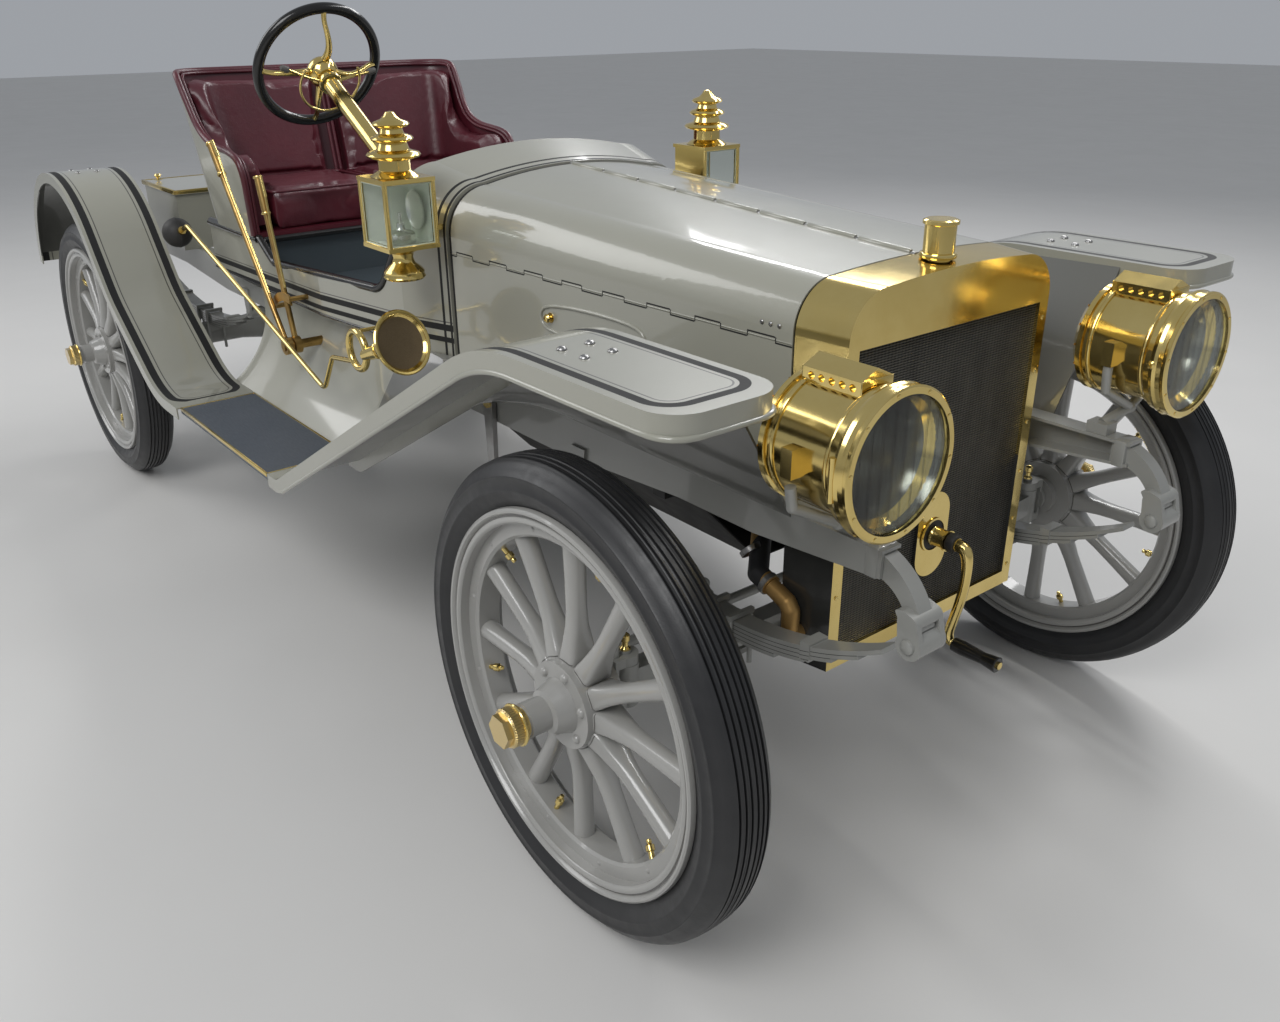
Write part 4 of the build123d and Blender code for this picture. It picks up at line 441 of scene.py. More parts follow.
FRONT_LEAVES = leaf_lines(0.0, 484.0, 438.0, 138.0)
REAR_LEAVES = leaf_lines(-WHEELBASE, 520.0, 500.0, 92.0)
LOOKS = {
    # look: material's name, painter, and the CAD nodes that wear it
    "paint": ("grey_enamel", enamel(), "box_lid rear_box"),
    "front_fender": ("fender_enamel_front", shaded_fender_enamel(front_fender_lines), "front_fenders"),
    "rear_fender": ("fender_enamel_rear", shaded_fender_enamel(rear_fender_lines), "rear_fenders"),
    "tub": ("tub_enamel", tub_enamel, "body_floor body_side_left body_side_right"),
    "cowl": ("cowl_enamel", enamel(body_lines), "cowl"),
    "hood": ("hood_enamel", enamel(hood_lines),
             "hood_side_left hood_side_right hood_top_left hood_top_right"),
    "wheel": ("wheel_enamel", wheel_enamel,
              "wheel_front_right wheel_front_left wheel_rear_right wheel_rear_left"),
    # the chassis parts wear the grey darkened as painted shade
    "frame_paint": ("chassis_enamel_shaded", enamel(None, *CHASSIS_GREY_SHADED, 0.6, 0.4),
                    "step_irons side_rails cross_members front_axle knuckle_left knuckle_right tie_rod "
                    "drag_link rear_axle spring_fittings lamp_forks"),
    "front_spring": ("front_spring_enamel", enamel(FRONT_LEAVES, *CHASSIS_GREY_SHADED, 0.5, 0.4), "front_springs"),
    "rear_spring": ("rear_spring_enamel", enamel(REAR_LEAVES, *CHASSIS_GREY_SHADED, 0.5, 0.4), "rear_springs"),
    "brass": ("polished_brass", brass, "crank_arm headlamps horn steering_column steering_spider"),
    "aged": ("aged_brass", aged_brass, "hand_levers"),
    "leather": ("burgundy_leather", leather, "seat_back seat_cushions"),
    "tyre": ("tyre_rubber", plain(
        (0.010, 0.010, 0.011), (0.024, 0.024, 0.025), (20.0, 5.0), (45.0, 4.0, 0.25, 0.30),
        (300.0, 3.0, 0.0006, 0.25)), "tyre_front_right tyre_front_left tyre_rear_right tyre_rear_left"),
    "black": ("black_enamel", plain(
        (0.006, 0.006, 0.006), (0.014, 0.013, 0.012), (12.0, 3.0), (30.0, 3.0, 0.15, 0.16),
        (80.0, 2.0, 0.0005, 0.1), others={"Specular IOR Level": 0.35, "Coat Weight": 0.35,
                                          "Coat Roughness": 0.04}), "crank_grip steering_rim"),
    "dull": ("dull_black", plain(
        (0.012, 0.012, 0.013), (0.035, 0.032, 0.028), (16.0, 5.0), (22.0, 4.0, 0.3, 0.45),
        (90.0, 4.0, 0.001, 0.3)), "engine_pan muffler horn_bulb"),
    "steel": ("bright_steel", plain(
        (0.42, 0.42, 0.42), (0.25, 0.24, 0.23), (30.0, 4.0), (50.0, 4.0, 0.2, 0.24),
        (140.0, 3.0, 0.0004, 0.2), metal=1.0), "drop_arm hood_hinge_rod"),
    "iron": ("cast_iron", plain(
        (0.06, 0.06, 0.055), (0.12, 0.11, 0.10), (14.0, 5.0), (30.0, 4.0, 0.3, 0.4),
        (120.0, 5.0, 0.002, 0.4)), "engine"),
    "lino": ("linoleum", linoleum, "running_boards"),
    "core": ("radiator_face", radiator_face, "radiator_core"),
    "glass": ("lamp_glass", lamp_glass, "lamp_glass"),
    # the headlamp reflector's silver is darkened to grey as painted shade inside the lamp drum
    "reflector": ("silvered_reflector_shaded", plain(
        (0.34, 0.34, 0.31), (0.18, 0.18, 0.165), (6.0, 4.0), (12.0, 3.0, 0.1, 0.14), metal=1.0), ""),
    "gauze": ("horn_gauze", horn_gauze, ""),
    "silver": ("plated_silver", plain(
        (0.86, 0.86, 0.82), (0.66, 0.66, 0.62), (9.0, 4.0), (16.0, 3.0, 0.12, 0.18), metal=1.0), ""),
    "apron": ("shaded_apron_enamel", shaded_apron_enamel, "splash_aprons"),
    "lantern": ("side_lamp_brass", side_lamp_brass, "side_lamps"),
    "shell": ("radiator_brass", radiator_brass, "radiator_shell"),
    "seat_shell": ("seat_shell_enamel", seat_shell_enamel, "seat_shell"),
    "hose": ("hose_and_elbows", hose_and_elbows, "water_hose"),
}


def dress(node, finish):
    """Gives a CAD node's object its material."""
    shown = nodes[node]
    for slot in shown.material_slots:
        slot.material = finish
    if not shown.material_slots:
        shown.data.materials.append(finish)


FINISHES = {}
for look, (title, painter, wearers) in LOOKS.items():
    FINISHES[look] = material(title, painter)
    for wearer in wearers.split():
        dress(wearer, FINISHES[look])


# Making shapes

def linked(name, data):
    """New object in the scene."""
    made = bpy.data.objects.new(name, data)
    bpy.context.scene.collection.objects.link(made)
    return made


def add(name, mesh, body, look, sharp=38.0):
    """Object at the origin that rides on a body, smooth except over sharp edges."""
    made = linked(name, mesh)
    mesh.materials.clear()
    mesh.materials.append(FINISHES[look])
    mesh.shade_smooth()
    mesh.set_sharp_from_angle(angle=math.radians(sharp))
    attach(made, body)
    return made


def baked(made):
    """The object's mesh with its curve, modifiers or node tree applied; the object goes."""
    bpy.context.view_layer.update()
    shape = made.evaluated_get(bpy.context.evaluated_depsgraph_get())
    mesh = bpy.data.meshes.new_from_object(shape)
    bpy.data.objects.remove(made)
    return mesh


def aimed(direction, origin):
    """Transform that takes +Z to direction and the origin to a point."""
    turn = Vector((0, 0, 1)).rotation_difference(Vector(direction).normalized())
    return Matrix.Translation(at(*origin)) @ turn.to_matrix().to_4x4()


def mesh_from(name, shape):
    mesh = bpy.data.meshes.new(name)
    shape.to_mesh(mesh)
    shape.free()
    return mesh


def skin(name, shape, rings, closed=False):
    """Mesh of the faces between rings of points, turned outwards; a ring of one point is a pole."""
    steps = max(len(ring) for ring in rings)
    for low, high in zip(rings, rings[1:] + rings[:1] if closed else rings[1:]):
        for k in range(steps):
            on = k + 1
            corners = [low[k % len(low)], low[on % len(low)], high[on % len(high)], high[k % len(high)]]
            corners = list(dict.fromkeys(corners))
            if len(corners) > 2:
                shape.faces.new(corners)
    bmesh.ops.recalc_face_normals(shape, faces=shape.faces)
    return mesh_from(name, shape)


def lathe_mesh(profile, steps=48, closed=False):
    """Surface of revolution about +Z from (radius, height) pairs in millimetres."""
    shape = bmesh.new()
    turns = [2 * math.pi * k / steps for k in range(steps)]
    rings = []
    for radius, height in profile:
        points = [(radius * math.cos(a), radius * math.sin(a), height) for a in turns]
        if radius < 0.01:
            points = [(0, 0, height)]
        rings.append([shape.verts.new(Vector(point) / 1000) for point in points])
    return skin("lathe", shape, rings, closed)


def lathe(name, profile, origin, direction, body="chassis", look="brass", steps=48, closed=False):
    mesh = lathe_mesh(profile, steps, closed)
    mesh.transform(aimed(direction, origin))
    return add(name, mesh, body, look)


def tube(name, points, radius, body="chassis", look="brass", closed=False, smooth=True, widths=None):
    """Round bar along points; widths scale the radius at each of them."""
    curve = bpy.data.curves.new(name, "CURVE")
    curve.dimensions = "3D"
    curve.bevel_depth = radius / 1000
    curve.bevel_resolution = 3
    curve.resolution_u = 5
    curve.use_fill_caps = True
    run = curve.splines.new("NURBS" if smooth else "POLY")
    run.points.add(len(points) - 1)
    for knot, point, width in zip(run.points, points, widths or [1.0] * len(points)):
        knot.co = (*at(*point), 1)
        knot.radius = width
    run.use_cyclic_u = closed
    if smooth:
        run.order_u = 3
        run.use_endpoint_u = not closed
    return add(name, baked(linked(name, curve)), body, look, 60.0)


def box_mesh(size, bevel=1.0):
    """Box about the origin with rounded edges, size in millimetres."""
    shape = bmesh.new()
    bmesh.ops.create_cube(shape, size=1.0)
    bmesh.ops.scale(shape, vec=Vector(size) / 1000, verts=shape.verts)
    bmesh.ops.bevel(shape, geom=list(shape.edges), offset=bevel / 1000, segments=2, profile=0.5,
                    affect="EDGES")
    return mesh_from("box", shape)


def strip(name, start, end, width, height, body="chassis", look="brass"):
    """Straight bar with rounded edges between two points; height is measured nearest to +Z."""
    a, b = at(*start), at(*end)
    mesh = box_mesh(((b - a).length * 1000, width, height))
    turn = (b - a).to_track_quat("X", "Z").to_matrix().to_4x4()
    mesh.transform(Matrix.Translation((a + b) / 2) @ turn)
    return add(name, mesh, body, look)


def joined(name, parts):
    """One object from several that share a body."""
    for other in bpy.context.selected_objects:
        other.select_set(False)
    for part in parts:
        part.select_set(True)
    bpy.context.view_layer.objects.active = parts[0]
    bpy.ops.object.join()
    parts[0].name = name
    return parts[0]


def copies_mesh(name, piece, look, sizes, lay_out):
    """Copies of a mesh made by a node tree.

    sizes are the tree's named inputs; lay_out(inputs) gives the points and the rotation of the copies.
    """
    source = bpy.data.objects.new(name + "_piece", piece)
    tree = Field.tree = bpy.data.node_groups.new(name, "GeometryNodeTree")
    kinds = {int: "NodeSocketInt", float: "NodeSocketFloat", Vector: "NodeSocketVector"}
    tree.interface.new_socket("Copies", in_out="OUTPUT", socket_type="NodeSocketGeometry")
    named = {label: tree.interface.new_socket(label, in_out="INPUT", socket_type=kinds[type(size)])
             for label, size in sizes.items()}
    points, rotation = lay_out(Field.node("NodeGroupInput"))
    picked = Field.node("GeometryNodeObjectInfo", sockets={"Object": source})["Geometry"]
    copies = Field.node("GeometryNodeInstanceOnPoints", sockets={
        "Points": points, "Instance": picked, "Rotation": rotation})
    real = Field.node("GeometryNodeRealizeInstances", sockets={0: copies})
    finish = Field.node("GeometryNodeSetMaterial", sockets={"Geometry": real, "Material": FINISHES[look]})
    Field.node("NodeGroupOutput", sockets={0: finish})

    holder = linked(name, bpy.data.meshes.new(name))
    modifier = holder.modifiers.new("copies", "NODES")
    modifier.node_group = tree
    for label, size in sizes.items():
        modifier[named[label].identifier] = tuple(size) if isinstance(size, Vector) else size
    mesh = baked(holder)
    bpy.data.objects.remove(source)
    bpy.data.node_groups.remove(tree)
    return mesh


def ring_layout(inputs):
    """Points round a circle, each copy turned with its place."""
    circle = Field.node("GeometryNodeMeshCircle", sockets={
        "Vertices": inputs["Count"], "Radius": inputs["Radius"]})
    turn = Field.node("GeometryNodeInputIndex") * (2 * math.pi) / inputs["Count"]
    return circle, Field.node("ShaderNodeCombineXYZ", sockets={"Z": turn})


def row_layout(inputs):
    """Points at even steps from the first to the last."""
    line = Field.node("GeometryNodeMeshLine", {"mode": "END_POINTS"}, {
        "Count": inputs["Count"], "Start Location": inputs["First"], "Offset": inputs["Last"]})
    return line, (0.0, 0.0, 0.0)


def ring_of(name, piece, count, radius, origin, direction, body="chassis", look="brass", start=0.0):
    """Copies round an axis; a radius of 0 turns a piece that already lies out at its place."""
    sizes = {"Count": count, "Radius": max(radius, 0.001) / 1000}
    mesh = copies_mesh(name, piece, look, sizes, ring_layout)
    mesh.transform(aimed(direction, origin) @ Matrix.Rotation(start, 4, "Z"))
    return add(name, mesh, body, look)


def row_of(name, piece, count, first, last, body="chassis", look="brass"):
    """Copies along a straight line."""
    sizes = {"Count": count, "First": at(*first), "Last": at(*last)}
    return add(name, copies_mesh(name, piece, look, sizes, row_layout), body, look)


def rounded(points, radii, steps=6):
    """Corners of a line of 2D points rounded by the radii, where these are not 0."""
    run = []
    last = len(points) - 1
    for index, (point, radius) in enumerate(zip(points, radii)):
        if radius == 0 or index in (0, last):
            run.append(tuple(point))
            continue
        here = Vector(point)
        back = (Vector(points[index - 1]) - here).normalized()
        on = (Vector(points[index + 1]) - here).normalized()
        half = math.acos(max(-1.0, min(1.0, back.dot(on)))) / 2
        reach = radius / math.tan(half)
        for k in range(steps + 1):
            share = k / steps
            first, second = here + back * reach * (1 - share), here + on * reach * share
            run.append(tuple(first.lerp(second, share)))
    return run


# Wheels and tyres

TYRE_R, BEAD_R = 438.0, 330.3
SPOKES, LUGS = 12, 6
LUG_TURN, LUG_REACH = 0.26, 294.0
WHEELS = [
    # name, axle x, side, hub cap's face outboard of the wheel's plane
    ("front_right", 0.0, -1, 166.0),
    ("front_left", 0.0, 1, 166.0),
    ("rear_right", -WHEELBASE, -1, 155.0),
    ("rear_left", -WHEELBASE, 1, 155.0),
]
SPOKE_STATIONS = [
    # reach, half width, half depth, squareness
    (74, 19.4, 31, 5), (84, 21.6, 30, 5), (94, 20.6, 28, 4.5), (106, 18.7, 26, 4), (122, 17.4, 23.5, 3.5),
    (145, 16.5, 19.5, 2.8), (175, 16.3, 17.8, 2.4), (235, 17.5, 18.2, 2.2), (299, 19.6, 19.6, 2.1),
]
RIM_LIP = [
    (325.5, 0), (327, 2.5), (330, 4), (334, 4), (337.5, 2.6), (338.5, -1), (341, -1), (342.5, 4),
    (345.5, 7.5), (349.5, 8.2), (353, 6), (354.5, 1.5), (354.5, -3),
]


def tyre_profile():
    """Closed section: bead, ridged side wall, and tread with three grooves on each half."""
    side = [(BEAD_R, 39.5), (353.5, 39.5), (362, 46), (374, 53), (381, 55.5), (383, 57), (386, 57),
            (388, 55.8), (398, 56), (404, 55), (406, 56), (409, 55.5), (411, 53), (420, 47), (428, 41),
            (432, 36)]
    for groove in (28, 17, 6):
        crown = TYRE_R - (groove / 36.0) ** 2 * 5.0
        side += [(min(crown + rise, TYRE_R), groove + off) for rise, off in (
            (-1.0, 4.6), (0.0, 3.6), (0.4, 2.2), (-4.0, 1.6), (-4.0, -1.6), (0.4, -2.2))]
    return side + [(r, -y) for r, y in reversed(side)]


def spoke_mesh():
    """One spoke along +X, flared where it meets its neighbours at the hub."""
    shape = bmesh.new()
    rings = []
    for reach, wide, deep, square in SPOKE_STATIONS:
        ring = []
        for k in range(24):
            c, s = math.cos(math.pi * k / 12), math.sin(math.pi * k / 12)
            across = math.copysign(abs(c) ** (2 / square), c) * wide
            along = math.copysign(abs(s) ** (2 / square), s) * deep
            ring.append(shape.verts.new((reach / 1000, across / 1000, along / 1000)))
        rings.append(ring)
    return skin("spoke", shape, rings)


def build_wheels():
    """Tyres, spokes, rim lips, rivets, bolts, lugs and cap rings of the four wheels."""
    spoke = spoke_mesh()
    rivet = lathe_mesh([(0, 2.4), (3, 1.9), (4.8, 0), (4.8, -1)], 12)
    bolt = lathe_mesh([(0, 7), (4, 6.4), (7.5, 4), (9, 0), (9, -2)], 16)
    lug = lathe_mesh([(0, 30), (4, 29), (5, 25), (4, 22), (8, 19), (8, 10), (5, 8), (5, -4)], 12)
    lug.transform(Matrix.Translation((LUG_REACH / 1000, 0, 0)) @ Matrix.Rotation(-math.pi / 2 - 0.3, 4, "Y"))
    cap_ring = [(35, 0), (37.5, 1), (38.5, 3), (37.5, 5), (35, 6)]
    for name, x, side, cap in WHEELS:
        body = "wheel_" + name
        outboard = (0, side, 0)
        centre, felloe, flange, lugs, cap_root = (
            (x, side * (WHEEL_Y + out), WHEEL_Z) for out in (0.0, 27.0, 41.0, 8.0, cap - 37))
        tyre = lathe("tyre_skin_" + name, tyre_profile(), centre, outboard, body, "tyre", 128, closed=True)
        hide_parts("tyre_" + name)
        ring_of("spokes_" + name, spoke, SPOKES, 0, centre, outboard, body, "wheel")
        for label, out in (("outer", 1), ("inner", -1)):
            edge = (x, side * (WHEEL_Y + out * 45.0), WHEEL_Z)
            lathe(f"rim_lips_{label}_{name}", RIM_LIP, edge, (0, side * out, 0), body, "wheel", 128)
        ring_of("felloe_rivets_" + name, rivet, SPOKES, 311, felloe, outboard, body, "wheel",
                math.pi / SPOKES)
        ring_of("flange_bolts_" + name, bolt, LUGS, 64, flange, outboard, body, "wheel", LUG_TURN)
        ring_of("rim_lugs_" + name, lug, LUGS, 0, lugs, outboard, body, start=LUG_TURN)
        lathe("cap_ring_" + name, cap_ring, cap_root, outboard, body)


# Lamps

def build_headlamps():
    """Inside, door fittings, drum bands and chimney edges of the two headlamps."""
    x, y, z = LAMP
    ahead = (1, 0, 0)
    screw = lathe_mesh([(0, 2.0), (2.5, 1.6), (3.6, 0.4), (3.6, -1)], 12)
    rivet = lathe_mesh([(0, 1.6), (2, 1.2), (2.8, 0)], 10)
    bowl = [(GLASS_R - 3, 191), (98, 170), (90, 160), (81, 120), (70, 72), (58, 55), (44, 46), (28, 41),
            (0, 39)]
    burner = [(0, 40), (14, 40), (14, 46), (6, 52), (6, 88), (10, 94), (10, 104), (4, 110), (0, 112)]
    hoop = [(DRUM_R + out, along) for out, along in (
        (-3, 0), (0.5, 0.5), (2, 2.5), (2, 5.5), (0.5, 7.5), (-3, 8))]
    catch = [(0, 16), (5, 15), (6, 10), (4, 6), (8, 4), (8, -6), (0, -6)]
    for hand, side in RIGHT_LEFT:
        back = (LAMP_BACK, side * y, z)
        lathe("reflector_" + hand, bowl, back, ahead, look="reflector", steps=56)
        lathe("burner_" + hand, burner, back, ahead, steps=24)
        ring_of("door_screws_" + hand, screw, 10, DOOR_R - 7.5, (x, side * y, z), ahead, start=0.2)
        for label, along in (("rear", 34), ("fore", 142)):
            lathe(f"drum_band_{label}_{hand}", hoop, (LAMP_BACK + along, side * y, z), ahead, steps=64)
        ring_of("drum_rivets_" + hand, rivet, 16, 100, (LAMP_BACK + 9, side * y, z), (-1, 0, 0))
        out = side * (y + DOOR_R - 4)
        tube("door_hinge_" + hand, [(x - 30, out, z - 34), (x - 30, out, z + 34)], 5.5, smooth=False)
        lathe("door_catch_" + hand, catch, (x - 28, side * (y - DOOR_R + 4), z), (0, -side, 0), steps=20)
        for along, end in ((LAMP_BACK + 30, -1), (LAMP_BACK + 144, 1)):
            ends = [(along, side * y + across, z + DRUM_R) for across in (-34, 34)]
            strip(f"roof_edge_{end}_{hand}", *ends, 3, 30)


SIDE_LAMP_TURNINGS = [
    # name, height of its base, outline
    ("foot", 0, [
        (44, 0), (48, 5), (45, 11), (46, 17), (40, 24), (26, 36), (22, 48), (25, 58), (38, 66), (43, 71)]),
    ("chimney", 227, [
        (54, 1.5), (46, 8), (35, 14), (35, 36), (56, 42), (60, 47), (56, 52), (36, 58), (31, 72), (44, 77),
        (47, 81), (43, 86), (27, 92), (24, 102), (38, 107), (41, 111), (37, 116), (22, 121), (14, 128),
        (9, 136)]),
]


def build_side_lamps():
    """Oil font, mirror, smooth turned foot and chimney, pane frames and corner posts."""
    x, y, z = SIDE_LAMP
    font = [(0, 0), (32, 0), (32, 20), (28, 25), (12, 29), (9, 33), (9, 44), (4, 46), (4, 66), (0, 68)]
    mirror = [(44, 0), (40, 3), (30, 8), (15, 11), (0, 12)]
    corners = ((-56, z + 81), (56, z + 81), (56, z + 219), (-56, z + 219))
    for hand, side in RIGHT_LEFT:
        lathe("lamp_font_" + hand, font, (x, side * y, z + 81), (0, 0, 1), look="silver", steps=32)
        lathe("lamp_mirror_" + hand, mirror, (x, side * (y - 40), z + 150), (0, -side, 0), look="silver",
              steps=40)
        for part_name, base, turning in SIDE_LAMP_TURNINGS:
            wall = [(radius + 0.5, height) for radius, height in turning]
            wall += [(radius - 0.7, height) for radius, height in reversed(turning)]
            lathe(f"lamp_{part_name}_{hand}", wall, (x, side * y, z + base), (0, 0, 1), steps=64, closed=True)
        front = [(x + 60.5, side * y + a, b) for a, b in corners]
        outer = [(x + a, side * (y + 60.5), b) for a, b in corners]
        frame_parts = [tube("pane_frame", run, 3.2, closed=True, smooth=False) for run in (front, outer)]
        for a, b in ((60, 60), (60, -60), (-60, 60)):
            post = [(x + a, side * (y + b), z + height) for height in (74, 226)]
            frame_parts.append(tube("post", post, 4.2, smooth=False))
        joined("side_lamp_frames_" + hand, frame_parts)


# Hood, radiator and crank

HOOD_FRONT, HOOD_REAR = (75.0, 302.0), (-980.0, 355.0)


def hood_side_y(x):
    """Half width of the hood at its hinge, between its front and rear ends."""
    (front, half), (rear, wide) = HOOD_FRONT, HOOD_REAR
    return half + (front - x) / (front - rear) * (wide - half)


def build_hood():
    """Knuckles of the centre hinge, and the blister, knob and rivets of each side."""
    slope = Vector((-1055.0, 0, 58.0))
    knuckle = lathe_mesh([(0, -61), (5.5, -61), (6.2, -60), (6.2, 60), (5.5, 61), (0, 61)], 18)
    knuckle.transform(Vector((0, 0, 1)).rotation_difference(slope.normalized()).to_matrix().to_4x4())
    row_of("hood_hinge", knuckle, 8, (8, 0, 1125.5), (-913, 0, 1176), look="paint")
    blister = [(-640, 915), (-620, 958), (-330, 966), (-290, 938), (-320, 906), (-600, 892)]
    knob = [(0, 14), (7, 13), (10, 9), (8, 5), (4, 3), (4, 0), (11, 0), (11, -2)]
    for hand, side in RIGHT_LEFT:
        body = "hood_side_" + hand
        bead = [(x, side * (hood_side_y(x) + 0.5), z) for x, z in blister]
        tube("blister_bead_" + hand, bead, 4.0, body, "paint", closed=True)
        knob_root = (-600, side * (hood_side_y(-600) + 1), 926)
        lathe("blister_knob_" + hand, knob, knob_root, (0, side, 0), body, steps=24)
        rivet = lathe_mesh([(0, 2.2), (3, 1.8), (4.5, 0)], 12)
        rivet.transform(Matrix.Rotation(-side * math.pi / 2, 4, "X"))
        ends = [(x, side * (hood_side_y(x) + 0.5), 1034) for x in (44, 4)]
        row_of("hood_rivets_" + hand, rivet, 3, *ends, "hood_top_" + hand, "steel")


def build_radiator():
    """Crank hole, core screws and filler collar."""
    hole = (181.4, 0, CRANK_Z)
    # painted shade: a thin dark ring on the core stands for the shade inside the crank's opening
    lathe("crank_hole", [(14, 0), (31, 0), (31, 1.2), (14, 1.2)], hole, (1, 0, 0), look="dull", steps=40,
          closed=True)
    lathe("crank_lip", [(30, 0), (34, 0.6), (35, 3), (31, 3.4)], hole, (1, 0, 0), steps=40)
    bolt = lathe_mesh([(0, 3), (3, 2.6), (4.5, 1), (4.5, -1)], 12)
    bolt.transform(Matrix.Rotation(math.pi / 2, 4, "Y"))
    for side in (-1, 1):
        row_of(f"core_screws_{side}", bolt, 6, (183, side * 270, 450), (183, side * 270, 980))
    collar = [(27, 0), (32, 1), (33, 3), (33, 8), (32, 10), (28, 11)]
    lathe("filler_collar", collar, (128, 0, 1122), (0, 0, 1))


def build_crank():
    """The arm's sleeve, shaft and cast bend in place of the plain arm, and its dark nut."""
    body, ahead = "starting_crank", (1, 0, 0)
    sleeve = [(13, 0), (19, 0), (20, 4), (18, 8), (18, 30), (21, 32), (21, 36), (13, 37)]
    shaft = [(0, 0), (13, 0), (13, 205), (0, 205)]
    parts = [lathe("crank_sleeve", sleeve, (184, 0, CRANK_Z), ahead, body, steps=32),
             lathe("crank_shaft", shaft, (36, 0, CRANK_Z), ahead, body, steps=32)]
    bend = [
        # x, z, share of the bar's radius
        (228, 600, 1.3), (246, 600, 1.45), (262, 594, 1.4), (268, 560, 1.15), (264, 500, 1.1),
        (250, 440, 1.1), (243, 410, 1.15), (248, 394, 1.1), (262, 392, 0.85), (364, 392, 0.85),
    ]
    parts.append(tube("crank_bend", [(x, 0, z) for x, z, _ in bend], 9.0, body,
                      widths=[width for *_, width in bend]))
    arm = joined("crank_arm_shape", parts)
    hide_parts("crank_arm")
    nut = [(13.5, 0), (18.5, 0), (19.5, 2), (19.5, 16), (18, 18), (13.5, 18)]
    lathe("crank_nut", nut, (222, 0, CRANK_Z), ahead, body, "dull", 10)


# Body, boards, fenders and box

def body_half(x):
    """Half width of the body, which widens behind the cowl."""
    return min(BODY_HALF, 402.0 + (-1150.0 - x) * 43.0 / 410.0)


def build_body_trim():
    """Black piping on the entrance's edge and round the seat's base, and a bead along the sill."""
    corners = [(-1152, 1006), (-1174, 990), (-1250, 880), (-1880, 852), (-1971, 908), (-2384, 908)]
    entrance = rounded(corners, [0, 18, 80, 44, 20, 0])
    for hand, side in RIGHT_LEFT:
        edge = [(x, side * (body_half(x) - 6), z) for x, z in entrance]
        tube("entrance_piping_" + hand, edge, 12.0, look="black")
        base = [(x, side * (BODY_HALF + 2), 906) for x in (-1972, -2100, -2240, -2380)]
        tube("seat_base_piping_" + hand, base, 8.5, look="black")
        sill = [(x, side * (body_half(x) + 0.5), 762) for x in (-1152, -1400, -1560, -1900, -2384)]
        tube("sill_bead_" + hand, sill, 4.0, look="black", smooth=False)
    tube("seat_front_piping", [(-1969, y, 903) for y in (-440, -300, 0, 300, 440)], 10.0, look="black")


def build_boards():
    """Brass edging round each running board."""
    for hand, side in RIGHT_LEFT:
        sides = [[(x, side * y, BOARD_EDGE_Z) for x in (-1885, -1238)] for y in (557.5, 773.5)]
        ends = [[(x, side * y, BOARD_EDGE_Z) for y in (556, 775)] for x in (-1882, -1241)]
        joined("board_edging_" + hand, [strip("edge", *run, 6, 9) for run in sides + ends])


def build_fenders():
    """Rolled edge of the front fenders, and rivets over the irons of all four."""
    rivet = lathe_mesh([(0, 4), (5, 3.2), (8, 0.8), (8.5, -1)], 16)
    slope = rounded([(-1150, 456.4), (-163, 1010.5), (250, 1013)], [0, 366, 0], 10)
    tip = rounded([(256, FENDER_EDGE_Y), (316, FENDER_EDGE_Y), (316, 557), (60, 557)], [0, 60, 60, 0], 8)
    # the rear fender's crown is an arc of 435 mm; its rivets begin 50 mm behind the middle
    crown = 600 + math.sqrt(435.0 ** 2 - 50.0 ** 2)
    for hand, side in RIGHT_LEFT:
        edge = [(x, side * FENDER_EDGE_Y, z) for x, z in slope]
        edge += [(x, side * y, FENDER_TOP) for x, y in tip]
        tube("fender_bead_" + hand, edge, 5.0, look="paint")
        for x in (-45, 15):
            ends = [(x, side * y, FENDER_RIVET_Z) for y in (636, 690)]
            row_of(f"fender_rivets_{x + 45}_{hand}", rivet, 2, *ends, look="steel")
        for y in (640, 700):
            ends = (-2950, side * y, crown), (-2860, side * y, crown + 2)
            row_of(f"rear_fender_rivets_{y}_{hand}", rivet, 2, *ends, look="steel")


def build_box_trim():
    """Edging and knob of the rear box's lid."""
    body = "box_lid"
    low, high, half, top = -3098.0, -2737.0, 438.0, 960.0
    runs = [((low, y, top - 5), (high, y, top - 5)) for y in (-half + 4, half - 4)]
    runs += [((x, -half, top - 5), (x, half, top - 5)) for x in (low + 4, high - 4)]
    joined("lid_edging", [strip("lid_edge", *run, 9, 14, body) for run in runs])
    knob = [(0, 22), (8, 21), (12, 16), (10, 11), (5, 8), (5, 2), (14, 1), (14, 0)]
    lathe("lid_knob", knob, (-3070, -386, top + 0.4), (0, 0, 1), body, steps=24)


# Seat

SEAT_LOW, SEAT_TOP = 908.0, 1352.0


def seat_half(z):
    """Half width of the flared seat shell."""
    return 452.0 + 34.0 * (z - SEAT_LOW) / (SEAT_TOP - SEAT_LOW)


def seat_rear(z):
    """X of the shell's sloped back."""
    return -2392.0 - 86.0 * (z - SEAT_LOW) / (SEAT_TOP - SEAT_LOW)


def seat_edge():
    """Line along the middle of the shell's top edge, from the right arm's foot round the back to the left."""
    arm = [(-1993, 916), (-1984, 1000), (-1974, 1070), (-1978, 1104), (-1996, 1134), (-2045, 1148),
           (-2110, 1153), (-2175, 1158), (-2222, 1170), (-2263, 1190), (-2296, 1223), (-2317, 1260),
           (-2334, 1288), (-2349, 1312), (-2366, 1337), (-2384, 1349)]
    corner, mid_wall = 130.0, 124.0
    run = []
    for x, z in arm:
        inward = math.sqrt(mid_wall ** 2 - min(0.0, x - seat_rear(z) - corner) ** 2)
        run.append((x, seat_half(z) - corner + inward, z))
    for angle in range(30, 91, 12):
        turn = math.radians(angle)
        run.append((-2348 - mid_wall * math.sin(turn), 356 + mid_wall * math.cos(turn), SEAT_TOP))
    run += [(-2472, y, SEAT_TOP) for y in (300, 200, 100)]
    return [(x, -y, z) for x, y, z in run] + [(-2472, 0, SEAT_TOP)] + list(reversed(run))


